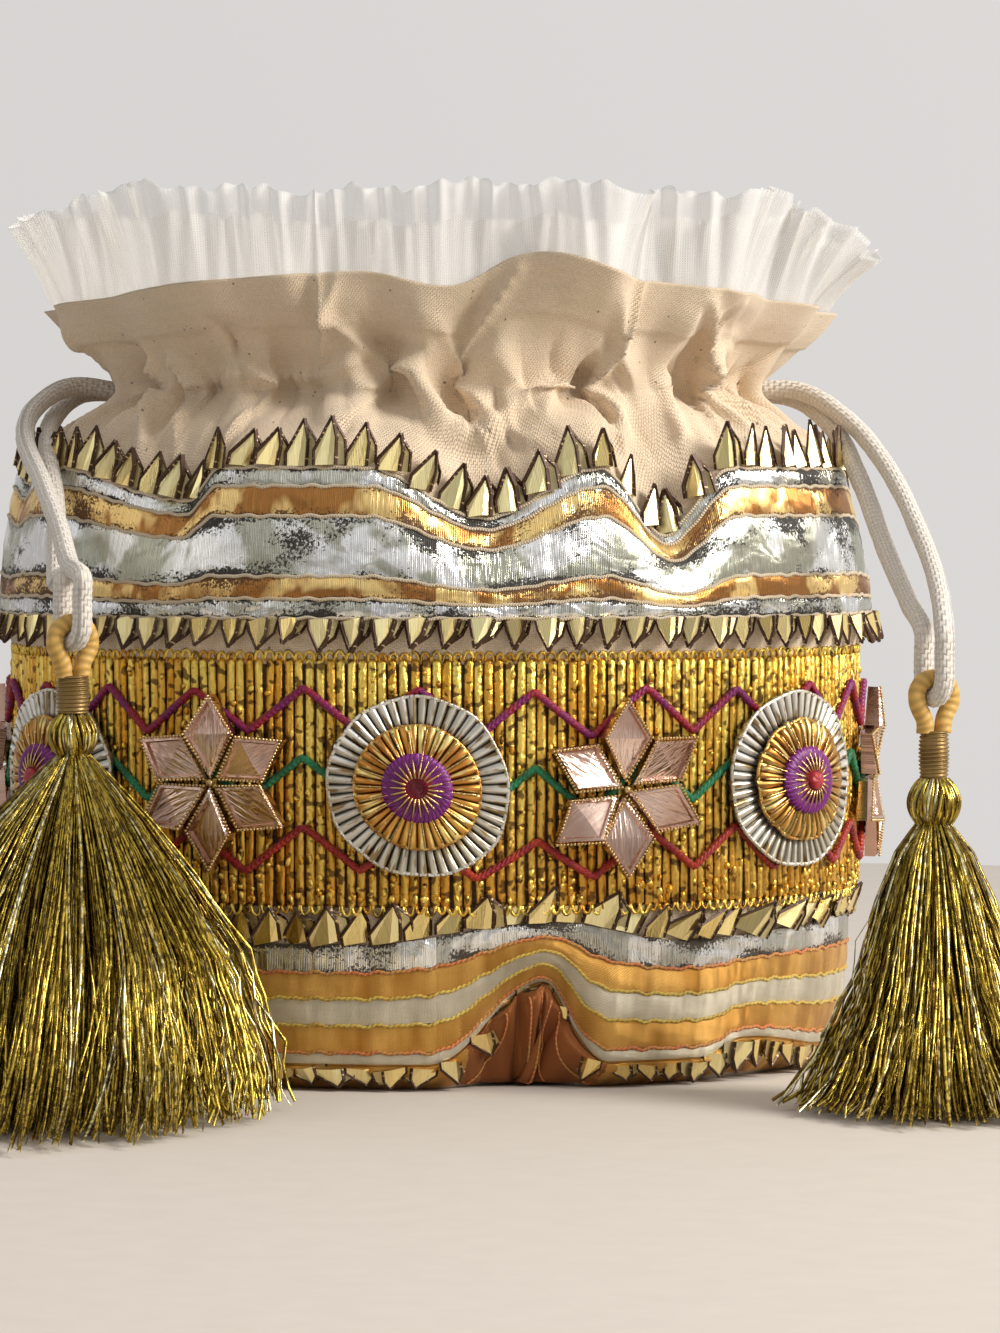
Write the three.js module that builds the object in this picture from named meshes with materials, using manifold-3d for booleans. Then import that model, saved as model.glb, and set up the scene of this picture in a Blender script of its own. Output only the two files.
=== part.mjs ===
// A potli: a cotton drawstring pouch with foil ribbons, folded foil points, a ribbed panel,
// sewn motifs, a net frill and two tasselled drawstrings. Millimetres, +Z up.
// The origin is the middle of the base, on the surface that the bag stands on. The front faces -Y.
// Angles are in degrees round the bag, from 0 at the front, and grow towards +X.

import * as THREE from 'three';
import { mergeVertices } from 'three/addons/utils/BufferGeometryUtils.js';
import Module from 'manifold-3d';

const wasm = await Module();
wasm.setup();

const clearance = 0.3; // between pieces that touch

// Heights of the bag's zones, each stacked on the one below it
const hemHeight = 5.5;
const lowerBandHeight = 32.5;
const lowerGapHeight = 10;
const panelHeight = 62;
const upperGapHeight = 11;
const upperBandHeight = 38;
const shoulderHeight = 21;
const ruffleHeight = 26;
const frillHeight = 19;

const lowerBandBottom = hemHeight;
const lowerBandTop = lowerBandBottom + lowerBandHeight;
const panelBottom = lowerBandTop + lowerGapHeight;
const panelTop = panelBottom + panelHeight;
const upperBandBottom = panelTop + upperGapHeight;
const upperBandTop = upperBandBottom + upperBandHeight;
const channelHeight = upperBandTop + shoulderHeight;
const lipHeight = channelHeight + ruffleHeight;

// Half widths of the bag from side to side
const baseHalfWidth = 98;
const hemHalfWidth = 106;
const lowerHalfWidth = 110.5;
const bellyHalfWidth = 113;
const bandOverhang = 3.5;
const bandHalfWidth = bellyHalfWidth + bandOverhang;
const shoulderHalfWidth = 111.5;
const channelHalfWidth = 85;
const lipHalfWidth = 101;
const bellyHalfDepth = 86;
const flatness = bellyHalfDepth / bellyHalfWidth;

// Cloth and folds
const clothThickness = 1.5;
const gatherCount = 20;
const gatherDepth = 5;
const dent = { at: 15, left: 16, right: 9, depth: 17 };
const lipRise = 4;
const netThickness = 0.9;
const netFluteDepth = 2.4;
const netFlutes = [0.5, -1, 0.5];

// Angle, half width and depth of each crease in the shoulder
const creases = [
  [-42, 15, 9], [6.4, 16, 13], [33, 12, 17.5], [88, 17, 7], [122, 14, 13],
  [153, 14, 10], [184, 16, 14], [-140, 15, 9], [-108, 14, 13], [-76, 12, 5],
];

// Angle, half width and bulge of each big fold at the cotton's top edge
const lipFolds = [
  [-68, 13, 6], [-43, 17, 8], [-22, 9, 5], [20, 14, 12], [46, 14, 7], [70, 11, 6], [95, 14, 8],
  [122, 15, 7], [149, 13, 10], [174, 14, 7], [-160, 14, 9], [-132, 15, 8], [-104, 14, 7], [-86, 10, 4],
];

// Trim sizes
const ribbonThickness = 0.6;
const upperRibbons = [
  ['upper_edge_silver_ribbon', 4.7, 0xc9c8c4],
  ['upper_lower_gold_ribbon', 5.5, 0xb98a45],
  ['upper_wide_silver_ribbon', 14.6, 0xc4c6c8],
  ['upper_upper_gold_ribbon', 7.3, 0xb98a45],
  ['upper_top_silver_ribbon', 4.4, 0xc9c8c4],
];
const lowerRibbons = [
  ['lower_corded_edge_ribbon', 4.5, 0xb9ae93],
  ['lower_satin_ribbon', 20.5, 0xb8863e],
  ['lower_foil_ribbon', 7.5, 0xc8c5bc],
];
const pointCount = 60;
const pointThickness = 0.7;
const pointLean = 1.6;
const upperPointRise = 11;
const upperPointDrop = 8.5;
const lowerPointRise = 9;
const lowerPointDrop = 4.8;

const ribCount = 60;
const ribHeight = 0.9;
const panelThickness = 0.4;
const panelSeat = 0.45;

const zigzagPeriods = 24;
const zigzagWidth = 2;
const zigzagThickness = 0.8;
const zigzagRise = 8;
const zigzags = [
  ['magenta_zigzag_thread', 17, 0x9c2a6a],
  ['green_zigzag_thread', 0, 0x1f7a4a],
  ['red_zigzag_thread', -15.5, 0xa8342c],
];

// Motifs
const motifCount = 12;
const firstMotifAngle = -2.3;
const rosetteRadius = 23;
const rosettePleats = 18;
const rosetteThickness = 2.2;
const pleatDepth = 1;
const goldPleatRadius = 15.5;
const threadRadius = 8.7;
const threadHeight = 2.2;
const petalCount = 6;
const starRadius = 22.5;
const petalFold = 0.55; // where a petal is widest, as a share of its length
const petalGap = 0.5;
const fullPetalHalfWidth = starRadius * petalFold * Math.tan(Math.PI / petalCount);
const petalHalfWidth = fullPetalHalfWidth - petalGap / 2 / Math.cos(Math.PI / petalCount);
const starThickness = 3;

// Drawstrings and tassels
const cordDiameter = 5;
const cordSides = 8;
const slotWidth = 14.4;
const slotHeight = 7;
const slotReach = 24;
const casingHeight = 15;
const casingThickness = 1;
const runSides = 6;
const runSteps = 34;
const exitHalfAngle = 5;
const runPush = -8.15;
const casingPush = -11;
const loopRadius = 2.2;
const loopClearance = 0.4;
const loopHeight = 14;

const cottonColour = 0xd9c7a6;
const cordColour = 0xe6dccb;
const goldThreadColour = 0xb08b2a;

function material(colour, roughness, metalness) {
  return new THREE.MeshStandardMaterial({ color: colour, roughness, metalness });
}

function named(name, geometry, finish) {
  const mesh = new THREE.Mesh(geometry, finish);
  mesh.name = name;
  return mesh;
}

// A closed body from points and the triangles between them
function solid(points, triangles) {
  const geometry = new THREE.BufferGeometry();
  const places = points.flatMap(({ x, y, z }) => [x, y, z]);
  geometry.setAttribute('position', new THREE.Float32BufferAttribute(places, 3));
  geometry.setIndex(triangles.flat());
  geometry.computeVertexNormals();
  return geometry;
}

// Joins each section to the next all the way round. A section goes up outside and down inside,
// and both sides are split along the same diagonal, so that thin pieces nest on each other.
function hoop(sections) {
  const size = sections[0].length;
  const triangles = [];
  for (let i = 0; i < sections.length; i += 1) {
    const here = i * size;
    const next = ((i + 1) % sections.length) * size;
    for (let j = 0; j < size; j += 1) {
      const then = (j + 1) % size;
      if (j < (size - 1) / 2) {
        triangles.push([here + j, next + j, next + then], [here + j, next + then, here + then]);
      } else {
        triangles.push([here + j, next + j, here + then], [next + j, next + then, here + then]);
      }
    }
  }
  return solid(sections.flat(), triangles);
}

// Joins rings of equal size, from the first one up, with a middle point closing each end
function stack(rings, first, last) {
  const size = rings[0].length;
  const points = [...rings.flat(), first, last];
  const triangles = [];
  for (let i = 0; i < size; i += 1) {
    const next = (i + 1) % size;
    for (let j = 0; j + 1 < rings.length; j += 1) {
      const low = j * size;
      const high = low + size;
      triangles.push([low + i, low + next, high + next], [low + i, high + next, high + i]);
    }
    const top = (rings.length - 1) * size;
    triangles.push([points.length - 2, next, i], [top + i, top + next, points.length - 1]);
  }
  return solid(points, triangles);
}

// One point for each of count equal turns
function ring(count, place) {
  return Array.from({ length: count }, (_, i) => place((i * 360) / count, i));
}

// 1 at the middle of a swell and 0 past its reach on either side
function swell(angle, at, before, after = before) {
  const away = THREE.MathUtils.euclideanModulo(angle - at + 180, 360) - 180;
  const reach = away < 0 ? before : after;
  return Math.abs(away) < reach ? 0.5 + 0.5 * Math.cos((Math.PI * away) / reach) : 0;
}

function sumOfSwells(angle, list) {
  return list.reduce((sum, [at, reach, size]) => sum + size * swell(angle, at, reach), 0);
}

// The bag's own skin

function lowerBandLift(angle) {
  return 5.5 * swell(angle, dent.at, 26, 20) + 3 * swell(angle, 75, 40);
}

function hemLift(angle) {
  return 21.5 * swell(angle, dent.at, dent.left, dent.right) + 4.5 * swell(angle, 47, 8, 25);
}

function lipLift(angle) {
  const roundTheMouth = lipRise * Math.cos(THREE.MathUtils.degToRad(2 * angle));
  return roundTheMouth + 5 * swell(angle, 16, 14) - 4 * swell(angle, 1, 12);
}

// A point at a height, on an ellipse of this half width, pushed outwards
function ellipsePoint(angle, halfWidth, push, height) {
  const turn = THREE.MathUtils.degToRad(angle);
  const out = new THREE.Vector3(flatness * Math.sin(turn), -Math.cos(turn), 0).normalize();
  const place = new THREE.Vector3(halfWidth * Math.sin(turn), -halfWidth * flatness * Math.cos(turn), height);
  return place.addScaledVector(out, push);
}

// Where each ribbon of a band ends, as shares of the band's height
function ribbonEnds(ribbons) {
  const whole = ribbons.reduce((sum, [, width]) => sum + width, 0);
  let end = 0;
  return ribbons.map(([, width]) => {
    end += width;
    return end / whole;
  });
}

const hemRow = 1;
const lowerTopRow = hemRow + lowerRibbons.length;
const upperBottomRow = lowerTopRow + 3;
const shoulderRow = upperBottomRow + upperRibbons.length;

// The skin's points at one angle, from the edge of the base up to the cotton's top edge
function skinColumn(angle) {
  const { lerp, smoothstep } = THREE.MathUtils;
  const dented = -dent.depth * swell(angle, dent.at, dent.left, dent.right);
  const drop = sumOfSwells(angle, creases);
  const shoulder = upperBandTop - drop;
  const gather = gatherDepth * Math.cos(THREE.MathUtils.degToRad(gatherCount * angle));
  const fold = sumOfSwells(angle, lipFolds);
  const lip = lipHeight + lipLift(angle);
  const neckPush = 0.3 * gather - 0.1 * drop;
  const hem = lowerBandBottom + hemLift(angle);
  const lowerTop = lowerBandTop + lowerBandLift(angle);
  const lowerRow = (share) => {
    const height = lerp(hem, lowerTop, share);
    const rounded = Math.sqrt(smoothstep(height, 0, lowerBandTop));
    const inwards = 1 - smoothstep(height, lowerBandBottom, lowerTop);
    return [height, lerp(hemHalfWidth, lowerHalfWidth, rounded), inwards * dented];
  };
  const upperRow = (share) => [
    lerp(upperBandBottom, shoulder, share),
    lerp(bandHalfWidth, shoulderHalfWidth, share ** 2),
    -0.3 * drop * share ** 1.5,
  ];
  const rows = [
    [0, baseHalfWidth, dented],
    lowerRow(0),
    ...ribbonEnds(lowerRibbons).map(lowerRow),
    [panelBottom, lerp(lowerHalfWidth, bellyHalfWidth, 0.8), 0],
    [panelTop, bellyHalfWidth, 0],
    upperRow(0),
    ...ribbonEnds(upperRibbons).map(upperRow),
    [lerp(shoulder, channelHeight, 0.55), lerp(shoulderHalfWidth, channelHalfWidth, 0.5), neckPush],
    [channelHeight, channelHalfWidth, gather],
    [lerp(channelHeight, lip, 0.35), lerp(channelHalfWidth, lipHalfWidth, 0.25), 0.7 * gather + 0.35 * fold],
    [lerp(channelHeight, lip, 0.75), lerp(channelHalfWidth, lipHalfWidth, 0.75), 0.25 * gather + 0.8 * fold],
    [lip, lipHalfWidth, fold],
  ];
  return rows.map(([height, halfWidth, push]) => ellipsePoint(angle, halfWidth, push, height));
}

const columnCount = 60;
const firstColumn = 3;
const columnStep = 360 / columnCount;
const skin = Array.from({ length: columnCount }, (_, i) => skinColumn(firstColumn + i * columnStep));
const lastRow = skin[0].length - 1;

function skinNormal(column, row) {
  const before = skin[(column + columnCount - 1) % columnCount][row];
  const after = skin[(column + 1) % columnCount][row];
  const below = skin[column][Math.max(row - 1, 0)];
  const above = skin[column][Math.min(row + 1, lastRow)];
  const along = after.clone().sub(before);
  return along.cross(above.clone().sub(below)).normalize();
}

const skinNormals = skin.map((points, column) => points.map((_, row) => skinNormal(column, row)));

function offSkin(column, row, offset) {
  return skin[column][row].clone().addScaledVector(skinNormals[column][row], offset);
}

// The columns on either side of an angle, and how far it is across from the first
function columnsAt(angle) {
  const place = THREE.MathUtils.euclideanModulo((angle - firstColumn) / columnStep, columnCount);
  const here = Math.floor(place) % columnCount;
  return [here, (here + 1) % columnCount, place - Math.floor(place)];
}

function rowHeight(angle, row) {
  const [here, next, across] = columnsAt(angle);
  return THREE.MathUtils.lerp(skin[here][row].z, skin[next][row].z, across);
}

// The point of the faceted skin at an angle and a height, moved off it along its normal
function onSkin(angle, height, offset) {
  const [here, next, across] = columnsAt(angle);
  let row = 0;
  while (row < lastRow - 1 && rowHeight(angle, row + 1) < height) {
    row += 1;
  }
  const up = (height - rowHeight(angle, row)) / (rowHeight(angle, row + 1) - rowHeight(angle, row));
  const shares = up <= across
    ? [[here, row, 1 - across], [next, row, across - up], [next, row + 1, up]]
    : [[here, row, 1 - up], [next, row + 1, across], [here, row + 1, up - across]];
  const point = new THREE.Vector3();
  const normal = new THREE.Vector3();
  for (const [column, level, share] of shares) {
    point.addScaledVector(skin[column][level], share);
    normal.addScaledVector(skinNormals[column][level], share);
  }
  return point.addScaledVector(normal.normalize(), offset);
}

function skinSection(angle, low, high, inner, outer) {
  return [
    onSkin(angle, low, outer), onSkin(angle, high, outer),
    onSkin(angle, high, inner), onSkin(angle, low, inner),
  ];
}

// Pieces of the bag

function toManifold(geometry) {
  const bare = geometry.clone();
  bare.deleteAttribute('normal');
  bare.deleteAttribute('uv');
  const merged = mergeVertices(bare);
  return new wasm.Manifold(new wasm.Mesh({
    numProp: 3,
    vertProperties: new Float32Array(merged.attributes.position.array),
    triVerts: new Uint32Array(merged.index.array),
  }));
}

function fromManifold(manifold) {
  const { vertProperties, triVerts } = manifold.getMesh();
  const geometry = new THREE.BufferGeometry();
  geometry.setAttribute('position', new THREE.Float32BufferAttribute(vertProperties, 3));
  geometry.setIndex(Array.from(triVerts));
  geometry.computeVertexNormals();
  return geometry;
}

// The cotton shell, with its gathered neck, and a slot on each side where the cords come out
function bagBody() {
  const outside = skin[0].map((_, row) => skin.map((points) => points[row]));
  const innerRows = [];
  for (let row = lastRow - 1; row >= shoulderRow; row -= 1) {
    innerRows.push(row);
  }
  innerRows.push(upperBottomRow, upperBottomRow - 1, lowerTopRow + 1, hemRow + 1);
  const lip = skin.map((points, column) => offSkin(column, lastRow, -clothThickness).setZ(points[lastRow].z));
  const inside = innerRows.map((row) => skin.map((_, column) => offSkin(column, row, -clothThickness)));
  const floor = skin.map((points) => points[0].clone().multiplyScalar(0.97).setZ(clothThickness));
  const rings = [...outside, lip, ...inside, floor];
  const shell = stack(rings, new THREE.Vector3(0, 0, 0), new THREE.Vector3(0, 0, clothThickness));
  let cloth = toManifold(shell);
  for (const side of [-1, 1]) {
    const slot = new THREE.BoxGeometry(slotReach, slotWidth, slotHeight);
    slot.translate(side * channelHalfWidth, 0, channelHeight);
    cloth = cloth.subtract(toManifold(slot));
  }
  return fromManifold(cloth);
}

// A net frill that stands on the cotton's top edge and spreads outwards
function netFrill() {
  const sections = skin.map((points, column) => {
    const angle = firstColumn + column * columnStep;
    const spread = 7.5 - 4.5 * Math.cos(THREE.MathUtils.degToRad(2 * angle));
    const flute = netFluteDepth * netFlutes[column % netFlutes.length];
    const foot = points[lastRow];
    const out = skinNormals[column][lastRow].clone().setZ(0).normalize();
    const place = (share, offset) => {
      const push = (spread + flute) * share + offset;
      return foot.clone().addScaledVector(out, push).setZ(foot.z + clearance + frillHeight * share);
    };
    const shares = [0, 0.5, 1];
    const outside = shares.map((share) => place(share, 0));
    const inside = shares.map((share) => place(share, -netThickness)).reverse();
    return [...outside, ...inside];
  });
  return hoop(sections);
}

// A band's ribbons, side by side up the skin from one of its rows, with a clearance to the next
function addRibbons(group, ribbons, firstRow, roughness) {
  ribbons.forEach(([name, , colour], i) => {
    const row = firstRow + i;
    const sections = skin.map((points, column) => {
      const height = points[row + 1].distanceTo(points[row]);
      const gap = clearance / 2 / height;
      const place = (share, offset) => (
        offSkin(column, row, offset).lerp(offSkin(column, row + 1, offset), share)
      );
      const outer = clearance + ribbonThickness;
      return [place(gap, outer), place(1 - gap, outer), place(1 - gap, clearance), place(gap, clearance)];
    });
    group.add(named(name, hoop(sections), material(colour, roughness, 0.7)));
  });
}

// A row of folded points along a row of the skin. Rise is negative where they hang down.
function pointTrim(row, rise, slant, limit) {
  const foot = Math.sign(rise) * 2 * clearance;
  const inner = 2 * clearance;
  const outer = inner + pointThickness;
  const sections = [];
  for (let i = 0; i < pointCount; i += 1) {
    const angle = firstColumn + (i * 360) / pointCount;
    const tipAngle = angle + (180 / pointCount) * (1 + slant);
    for (const [at, share] of [[angle, 0.3], [tipAngle, 1]]) {
      const edge = rowHeight(at, row);
      const start = edge + foot;
      const wanted = start + rise * share;
      const outside = onSkin(at, edge, outer).setZ(start);
      const inside = onSkin(at, edge, inner).setZ(start);
      const lean = inner + pointLean * share;
      if (rise > 0) {
        const end = Math.min(wanted, limit);
        sections.push([outside, onSkin(at, end, lean).setZ(end), inside]);
      } else {
        sections.push([onSkin(at, edge, lean).setZ(Math.max(wanted, limit)), outside, inside]);
      }
    }
  }
  return hoop(sections);
}

function ribbedPanel() {
  const sections = ring(2 * ribCount, (turn, i) => {
    const crest = i % 2 === 0 ? 0 : ribHeight;
    const outer = panelSeat + panelThickness + crest;
    return skinSection(firstColumn + turn, panelBottom, panelTop, panelSeat, outer);
  });
  return hoop(sections);
}

const threadSeat = panelSeat + panelThickness + ribHeight + 2 * clearance;
const motifSeat = threadSeat + zigzagThickness + clearance;
const panelMiddle = panelBottom + panelHeight / 2;

function zigzagThread(middle) {
  const sections = ring(2 * zigzagPeriods, (turn, i) => {
    const level = panelMiddle + middle + (i % 2 === 0 ? 0.5 : -0.5) * zigzagRise;
    const low = level - zigzagWidth / 2;
    const high = level + zigzagWidth / 2;
    return skinSection(firstMotifAngle + turn, low, high, threadSeat, threadSeat + zigzagThickness);
  });
  return hoop(sections);
}

// Angles round the belly that are the same length of cloth apart
function equalAngles(count, start) {
  const parts = 1440;
  const places = [0];
  const spot = (k) => ellipsePoint(start + (k * 360) / parts, bellyHalfWidth, 0, 0);
  for (let k = 1; k <= parts; k += 1) {
    places.push(places[k - 1] + spot(k).distanceTo(spot(k - 1)));
  }
  return Array.from({ length: count }, (_, i) => {
    const wanted = (places[parts] * i) / count;
    const index = places.findIndex((length) => length >= wanted);
    return start + (index * 360) / parts;
  });
}

// Stands a shape made facing +Z, with its top at +Y, on the panel at an angle
function seatOnPanel(mesh, angle, offset) {
  const turn = THREE.MathUtils.degToRad(angle);
  const out = new THREE.Vector3(flatness * Math.sin(turn), -Math.cos(turn), 0).normalize();
  const up = new THREE.Vector3(0, 0, 1);
  const right = up.clone().cross(out);
  mesh.quaternion.setFromRotationMatrix(new THREE.Matrix4().makeBasis(right, up, out));
  mesh.position.copy(ellipsePoint(angle, bellyHalfWidth, offset, panelMiddle));
  return mesh;
}

function roundPoint(radius, turn, height) {
  const angle = THREE.MathUtils.degToRad(turn);
  return new THREE.Vector3(radius * Math.cos(angle), radius * Math.sin(angle), height);
}

// A disc of pleats, whose rim goes in and out
function pleatedDisc(radius) {
  const count = 2 * rosettePleats;
  const rim = ring(count, (turn, i) => roundPoint(radius, turn, rosetteThickness - (i % 2) * pleatDepth));
  const back = ring(count, (turn) => roundPoint(radius, turn, 0));
  return stack([back, rim], new THREE.Vector3(0, 0, 0), new THREE.Vector3(0, 0, rosetteThickness));
}

function threadCentre() {
  const outline = [[1, 0], [1, 0.4], [0.72, 0.85]];
  const rings = outline.map(([width, height]) => (
    ring(14, (turn) => roundPoint(threadRadius * width, turn, threadHeight * height))
  ));
  return stack(rings, new THREE.Vector3(0, 0, 0), new THREE.Vector3(0, 0, threadHeight));
}

// Six folded petals that meet in the middle, each higher along one side
function foldedStar() {
  const outline = [[0.16, 0, 0.6], [petalFold, -1, 1.3], [1, 0, 1.1], [petalFold, 1, 0.7]];
  const corners = [];
  for (let petal = 0; petal < petalCount; petal += 1) {
    const middle = 90 + (petal * 360) / petalCount;
    for (const [along, side, height] of outline) {
      const notch = along < petalFold ? -180 / petalCount : 0;
      const lean = THREE.MathUtils.radToDeg(Math.atan2(side * petalHalfWidth, along * starRadius));
      const radius = Math.hypot(along * starRadius, side * petalHalfWidth);
      corners.push([radius, middle + lean + notch, starThickness * height]);
    }
  }
  const back = corners.map(([radius, turn]) => roundPoint(radius, turn, 0));
  const front = corners.map(([radius, turn, height]) => roundPoint(radius, turn, height));
  return stack([back, front], new THREE.Vector3(0, 0, 0), new THREE.Vector3(0, 0, starThickness));
}

function addMotifs(group) {
  const silver = material(0xb9b4a6, 0.35, 0.8);
  const gold = material(0xb9822f, 0.4, 0.7);
  const thread = material(0x84197a, 0.8, 0);
  const rose = material(0xb98568, 0.35, 0.7);
  const goldSeat = motifSeat + rosetteThickness + clearance;
  const threadSeatHeight = goldSeat + rosetteThickness + clearance;
  equalAngles(motifCount, firstMotifAngle).forEach((angle, i) => {
    const number = Math.floor(i / 2) + 1;
    if (i % 2 === 0) {
      const silverPleats = named(`rosette_${number}_silver_pleats`, pleatedDisc(rosetteRadius), silver);
      const goldPleats = named(`rosette_${number}_gold_pleats`, pleatedDisc(goldPleatRadius), gold);
      const centre = named(`rosette_${number}_thread_centre`, threadCentre(), thread);
      group.add(seatOnPanel(silverPleats, angle, motifSeat));
      group.add(seatOnPanel(goldPleats, angle, goldSeat));
      group.add(seatOnPanel(centre, angle, threadSeatHeight));
    } else {
      group.add(seatOnPanel(named(`star_${number}`, foldedStar(), rose), angle, motifSeat));
    }
  });
}

// Drawstrings

function tube(points, radius, sides, steps) {
  const section = new THREE.Shape(ring(sides, (turn) => {
    const corner = roundPoint(radius, turn, 0);
    return new THREE.Vector2(corner.x, corner.y);
  }));
  const extrudePath = new THREE.CatmullRomCurve3(points, false, 'centripetal');
  return new THREE.ExtrudeGeometry(section, { steps, bevelEnabled: false, extrudePath });
}

// The cord's hidden way round inside the neck, from one side of its slot to the other
function hiddenRun(side, level) {
  const start = 90 * side + exitHalfAngle;
  const parts = 24;
  const points = [];
  for (let i = 0; i <= parts; i += 1) {
    const angle = start + ((360 - 2 * exitHalfAngle) * i) / parts;
    points.push(ellipsePoint(angle, channelHalfWidth, runPush, level));
  }
  return tube(points, cordDiameter / 2, runSides, runSteps);
}

// The tape inside the neck that holds the cords in
function neckCasing() {
  const innerPush = casingPush - casingThickness;
  const low = channelHeight - casingHeight / 2;
  const high = channelHeight + casingHeight / 2;
  return hoop(ring(40, (turn) => [
    ellipsePoint(turn, channelHalfWidth, casingPush, low),
    ellipsePoint(turn, channelHalfWidth, casingPush, high),
    ellipsePoint(turn, channelHalfWidth, innerPush, high),
    ellipsePoint(turn, channelHalfWidth, innerPush, low),
  ]));
}

// The half turn that a cord and a tassel's loop make round each other
const hookRadius = cordDiameter / 2 + loopRadius + loopClearance;
const bightLeg = 6;
const bendRoom = 5;
const strandSteps = 14;

// The place on a strand where the bight ends, on the front side or the back side of the loop
function bightEnd(tassel, side, extra = 0) {
  const turn = THREE.MathUtils.degToRad(tassel.turn);
  return new THREE.Vector3(
    tassel.loop.x + side * hookRadius * Math.sin(turn),
    tassel.loop.y - side * hookRadius * Math.cos(turn),
    tassel.loop.z + bightLeg + extra,
  );
}

function bight(tassel) {
  const turn = THREE.MathUtils.degToRad(tassel.turn);
  const points = [];
  for (const angle of [0, 30, 60, 90, 120, 150, 180]) {
    const reach = hookRadius * Math.cos(THREE.MathUtils.degToRad(angle));
    const height = -hookRadius * Math.sin(THREE.MathUtils.degToRad(angle));
    points.push(new THREE.Vector3(
      tassel.loop.x + reach * Math.sin(turn), tassel.loop.y - reach * Math.cos(turn), tassel.loop.z + height,
    ));
  }
  return tube([bightEnd(tassel, 1), ...points, bightEnd(tassel, -1)], cordDiameter / 2, cordSides, 12);
}

// A strand from the slot to the bight. The middle points are chosen by hand.
function strand(tassel, side, exit, middle) {
  const points = [
    ...[exit, ...middle].map(([x, y, z]) => new THREE.Vector3(x, y, z)),
    bightEnd(tassel, side, bendRoom), bightEnd(tassel, side, clearance),
  ];
  return tube(points, cordDiameter / 2, cordSides, strandSteps);
}

// Each tassel's loop hangs at a point and is turned about the vertical. Its skirt leans by so much
// at the floor, and its outline is shares of the way down and of its radius there.
const tassels = [
  {
    name: 'left', loop: { x: -91, y: -102, z: 120.5 }, turn: 32, lean: [-5, -22],
    bindingLength: 8.5, bindingRadius: 3.8, headLength: 11, headRadius: 6.4,
    skirtRadius: 57, spill: 34,
    skirt: [[0.03, 0.1], [0.16, 0.3], [0.34, 0.53], [0.56, 0.78], [0.84, 0.96], [0.97, 1], [1, 1]],
    frontExit: [-79.9, -3.6, 179.2],
    front: [
      [-97.5, -8, 181.4], [-106.5, -20, 175.5], [-108, -36, 167.5],
      [-101.5, -60, 155], [-95.5, -82, 143], [-92, -96, 134.5],
    ],
    backExit: [-79.9, 3.6, 179.8],
    back: [
      [-95.5, 3, 179.7], [-102, -9, 173.5], [-102, -36, 164],
      [-98.5, -57, 150.5], [-97, -75, 137.5], [-96, -88, 130],
    ],
  },
  {
    name: 'right', loop: { x: 125, y: -102, z: 106.5 }, turn: 25, lean: [0, -22],
    bindingLength: 11, bindingRadius: 3.4, headLength: 12, headRadius: 6.8,
    skirtRadius: 38, spill: 8,
    skirt: [[0.02, 0.17], [0.14, 0.27], [0.3, 0.38], [0.58, 0.56], [0.84, 0.8], [0.96, 1], [1, 1]],
    frontExit: [79.9, -3.6, 180.2],
    front: [[97.5, -7, 180.4], [110, -20, 172], [119, -42, 158.5], [124.5, -66, 143], [127, -92, 129]],
    backExit: [79.9, 3.6, 179.8],
    back: [[95.5, 2.2, 179], [106, -14, 170.5], [112, -36, 155.5], [116.5, -58, 138.5], [120.5, -84, 124.5]],
  },
];

function addDrawstrings(group, tassel, finish) {
  const { name } = tassel;
  group.add(named(`${name}_cord_front_strand`, strand(tassel, 1, tassel.frontExit, tassel.front), finish));
  group.add(named(`${name}_cord_back_strand`, strand(tassel, -1, tassel.backExit, tassel.back), finish));
  group.add(named(`${name}_cord_bight`, bight(tassel), finish));
}

// Tassels

// The tassel's own loop, from one end in the binding up over the drawstring and down again
function tasselLoop() {
  const legFoot = loopRadius + clearance;
  const leg = [[legFoot, -loopHeight], [1.15 * legFoot, -loopHeight + 2.5]];
  const points = leg.map(([x, z]) => new THREE.Vector3(-x, 0, z));
  for (const angle of [180, 150, 120, 90, 60, 30, 0]) {
    const turn = THREE.MathUtils.degToRad(angle);
    const over = hookRadius * Math.sin(turn) - hookRadius;
    points.push(new THREE.Vector3(hookRadius * Math.cos(turn), 0, over));
  }
  points.push(...leg.reverse().map(([x, z]) => new THREE.Vector3(x, 0, z)));
  return tube(points, loopRadius, cordSides, 20);
}

// Turns of whipping, as ridges from the bottom up
function whippedBinding(tassel) {
  const turns = 5;
  const top = -loopHeight - clearance;
  const outline = [[0, top - tassel.bindingLength]];
  for (let i = 0; i < 2 * turns; i += 1) {
    const radius = tassel.bindingRadius * (i % 2 === 0 ? 0.9 : 1);
    outline.push([radius, top - tassel.bindingLength * (1 - i / (2 * turns - 1))]);
  }
  outline.push([0, top]);
  const geometry = new THREE.LatheGeometry(outline.map(([x, y]) => new THREE.Vector2(x, y)), 12);
  return geometry.rotateX(Math.PI / 2);
}

function fluted(count, radius, height, flute) {
  return ring(count, (turn, i) => roundPoint(radius * (1 + (i % 2 === 0 ? flute : -flute)), turn, height));
}

function tasselHead(tassel) {
  const top = -loopHeight - 2 * clearance - tassel.bindingLength;
  const outline = [[1, 0.85], [0.75, 1], [0.4, 0.95], [0.08, 0.7]];
  const rings = outline.map(([down, width]) => (
    fluted(16, tassel.headRadius * width, top - tassel.headLength * down, 0.06)
  ));
  const foot = new THREE.Vector3(0, 0, top - tassel.headLength);
  return stack(rings, foot, new THREE.Vector3(0, 0, top));
}

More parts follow.
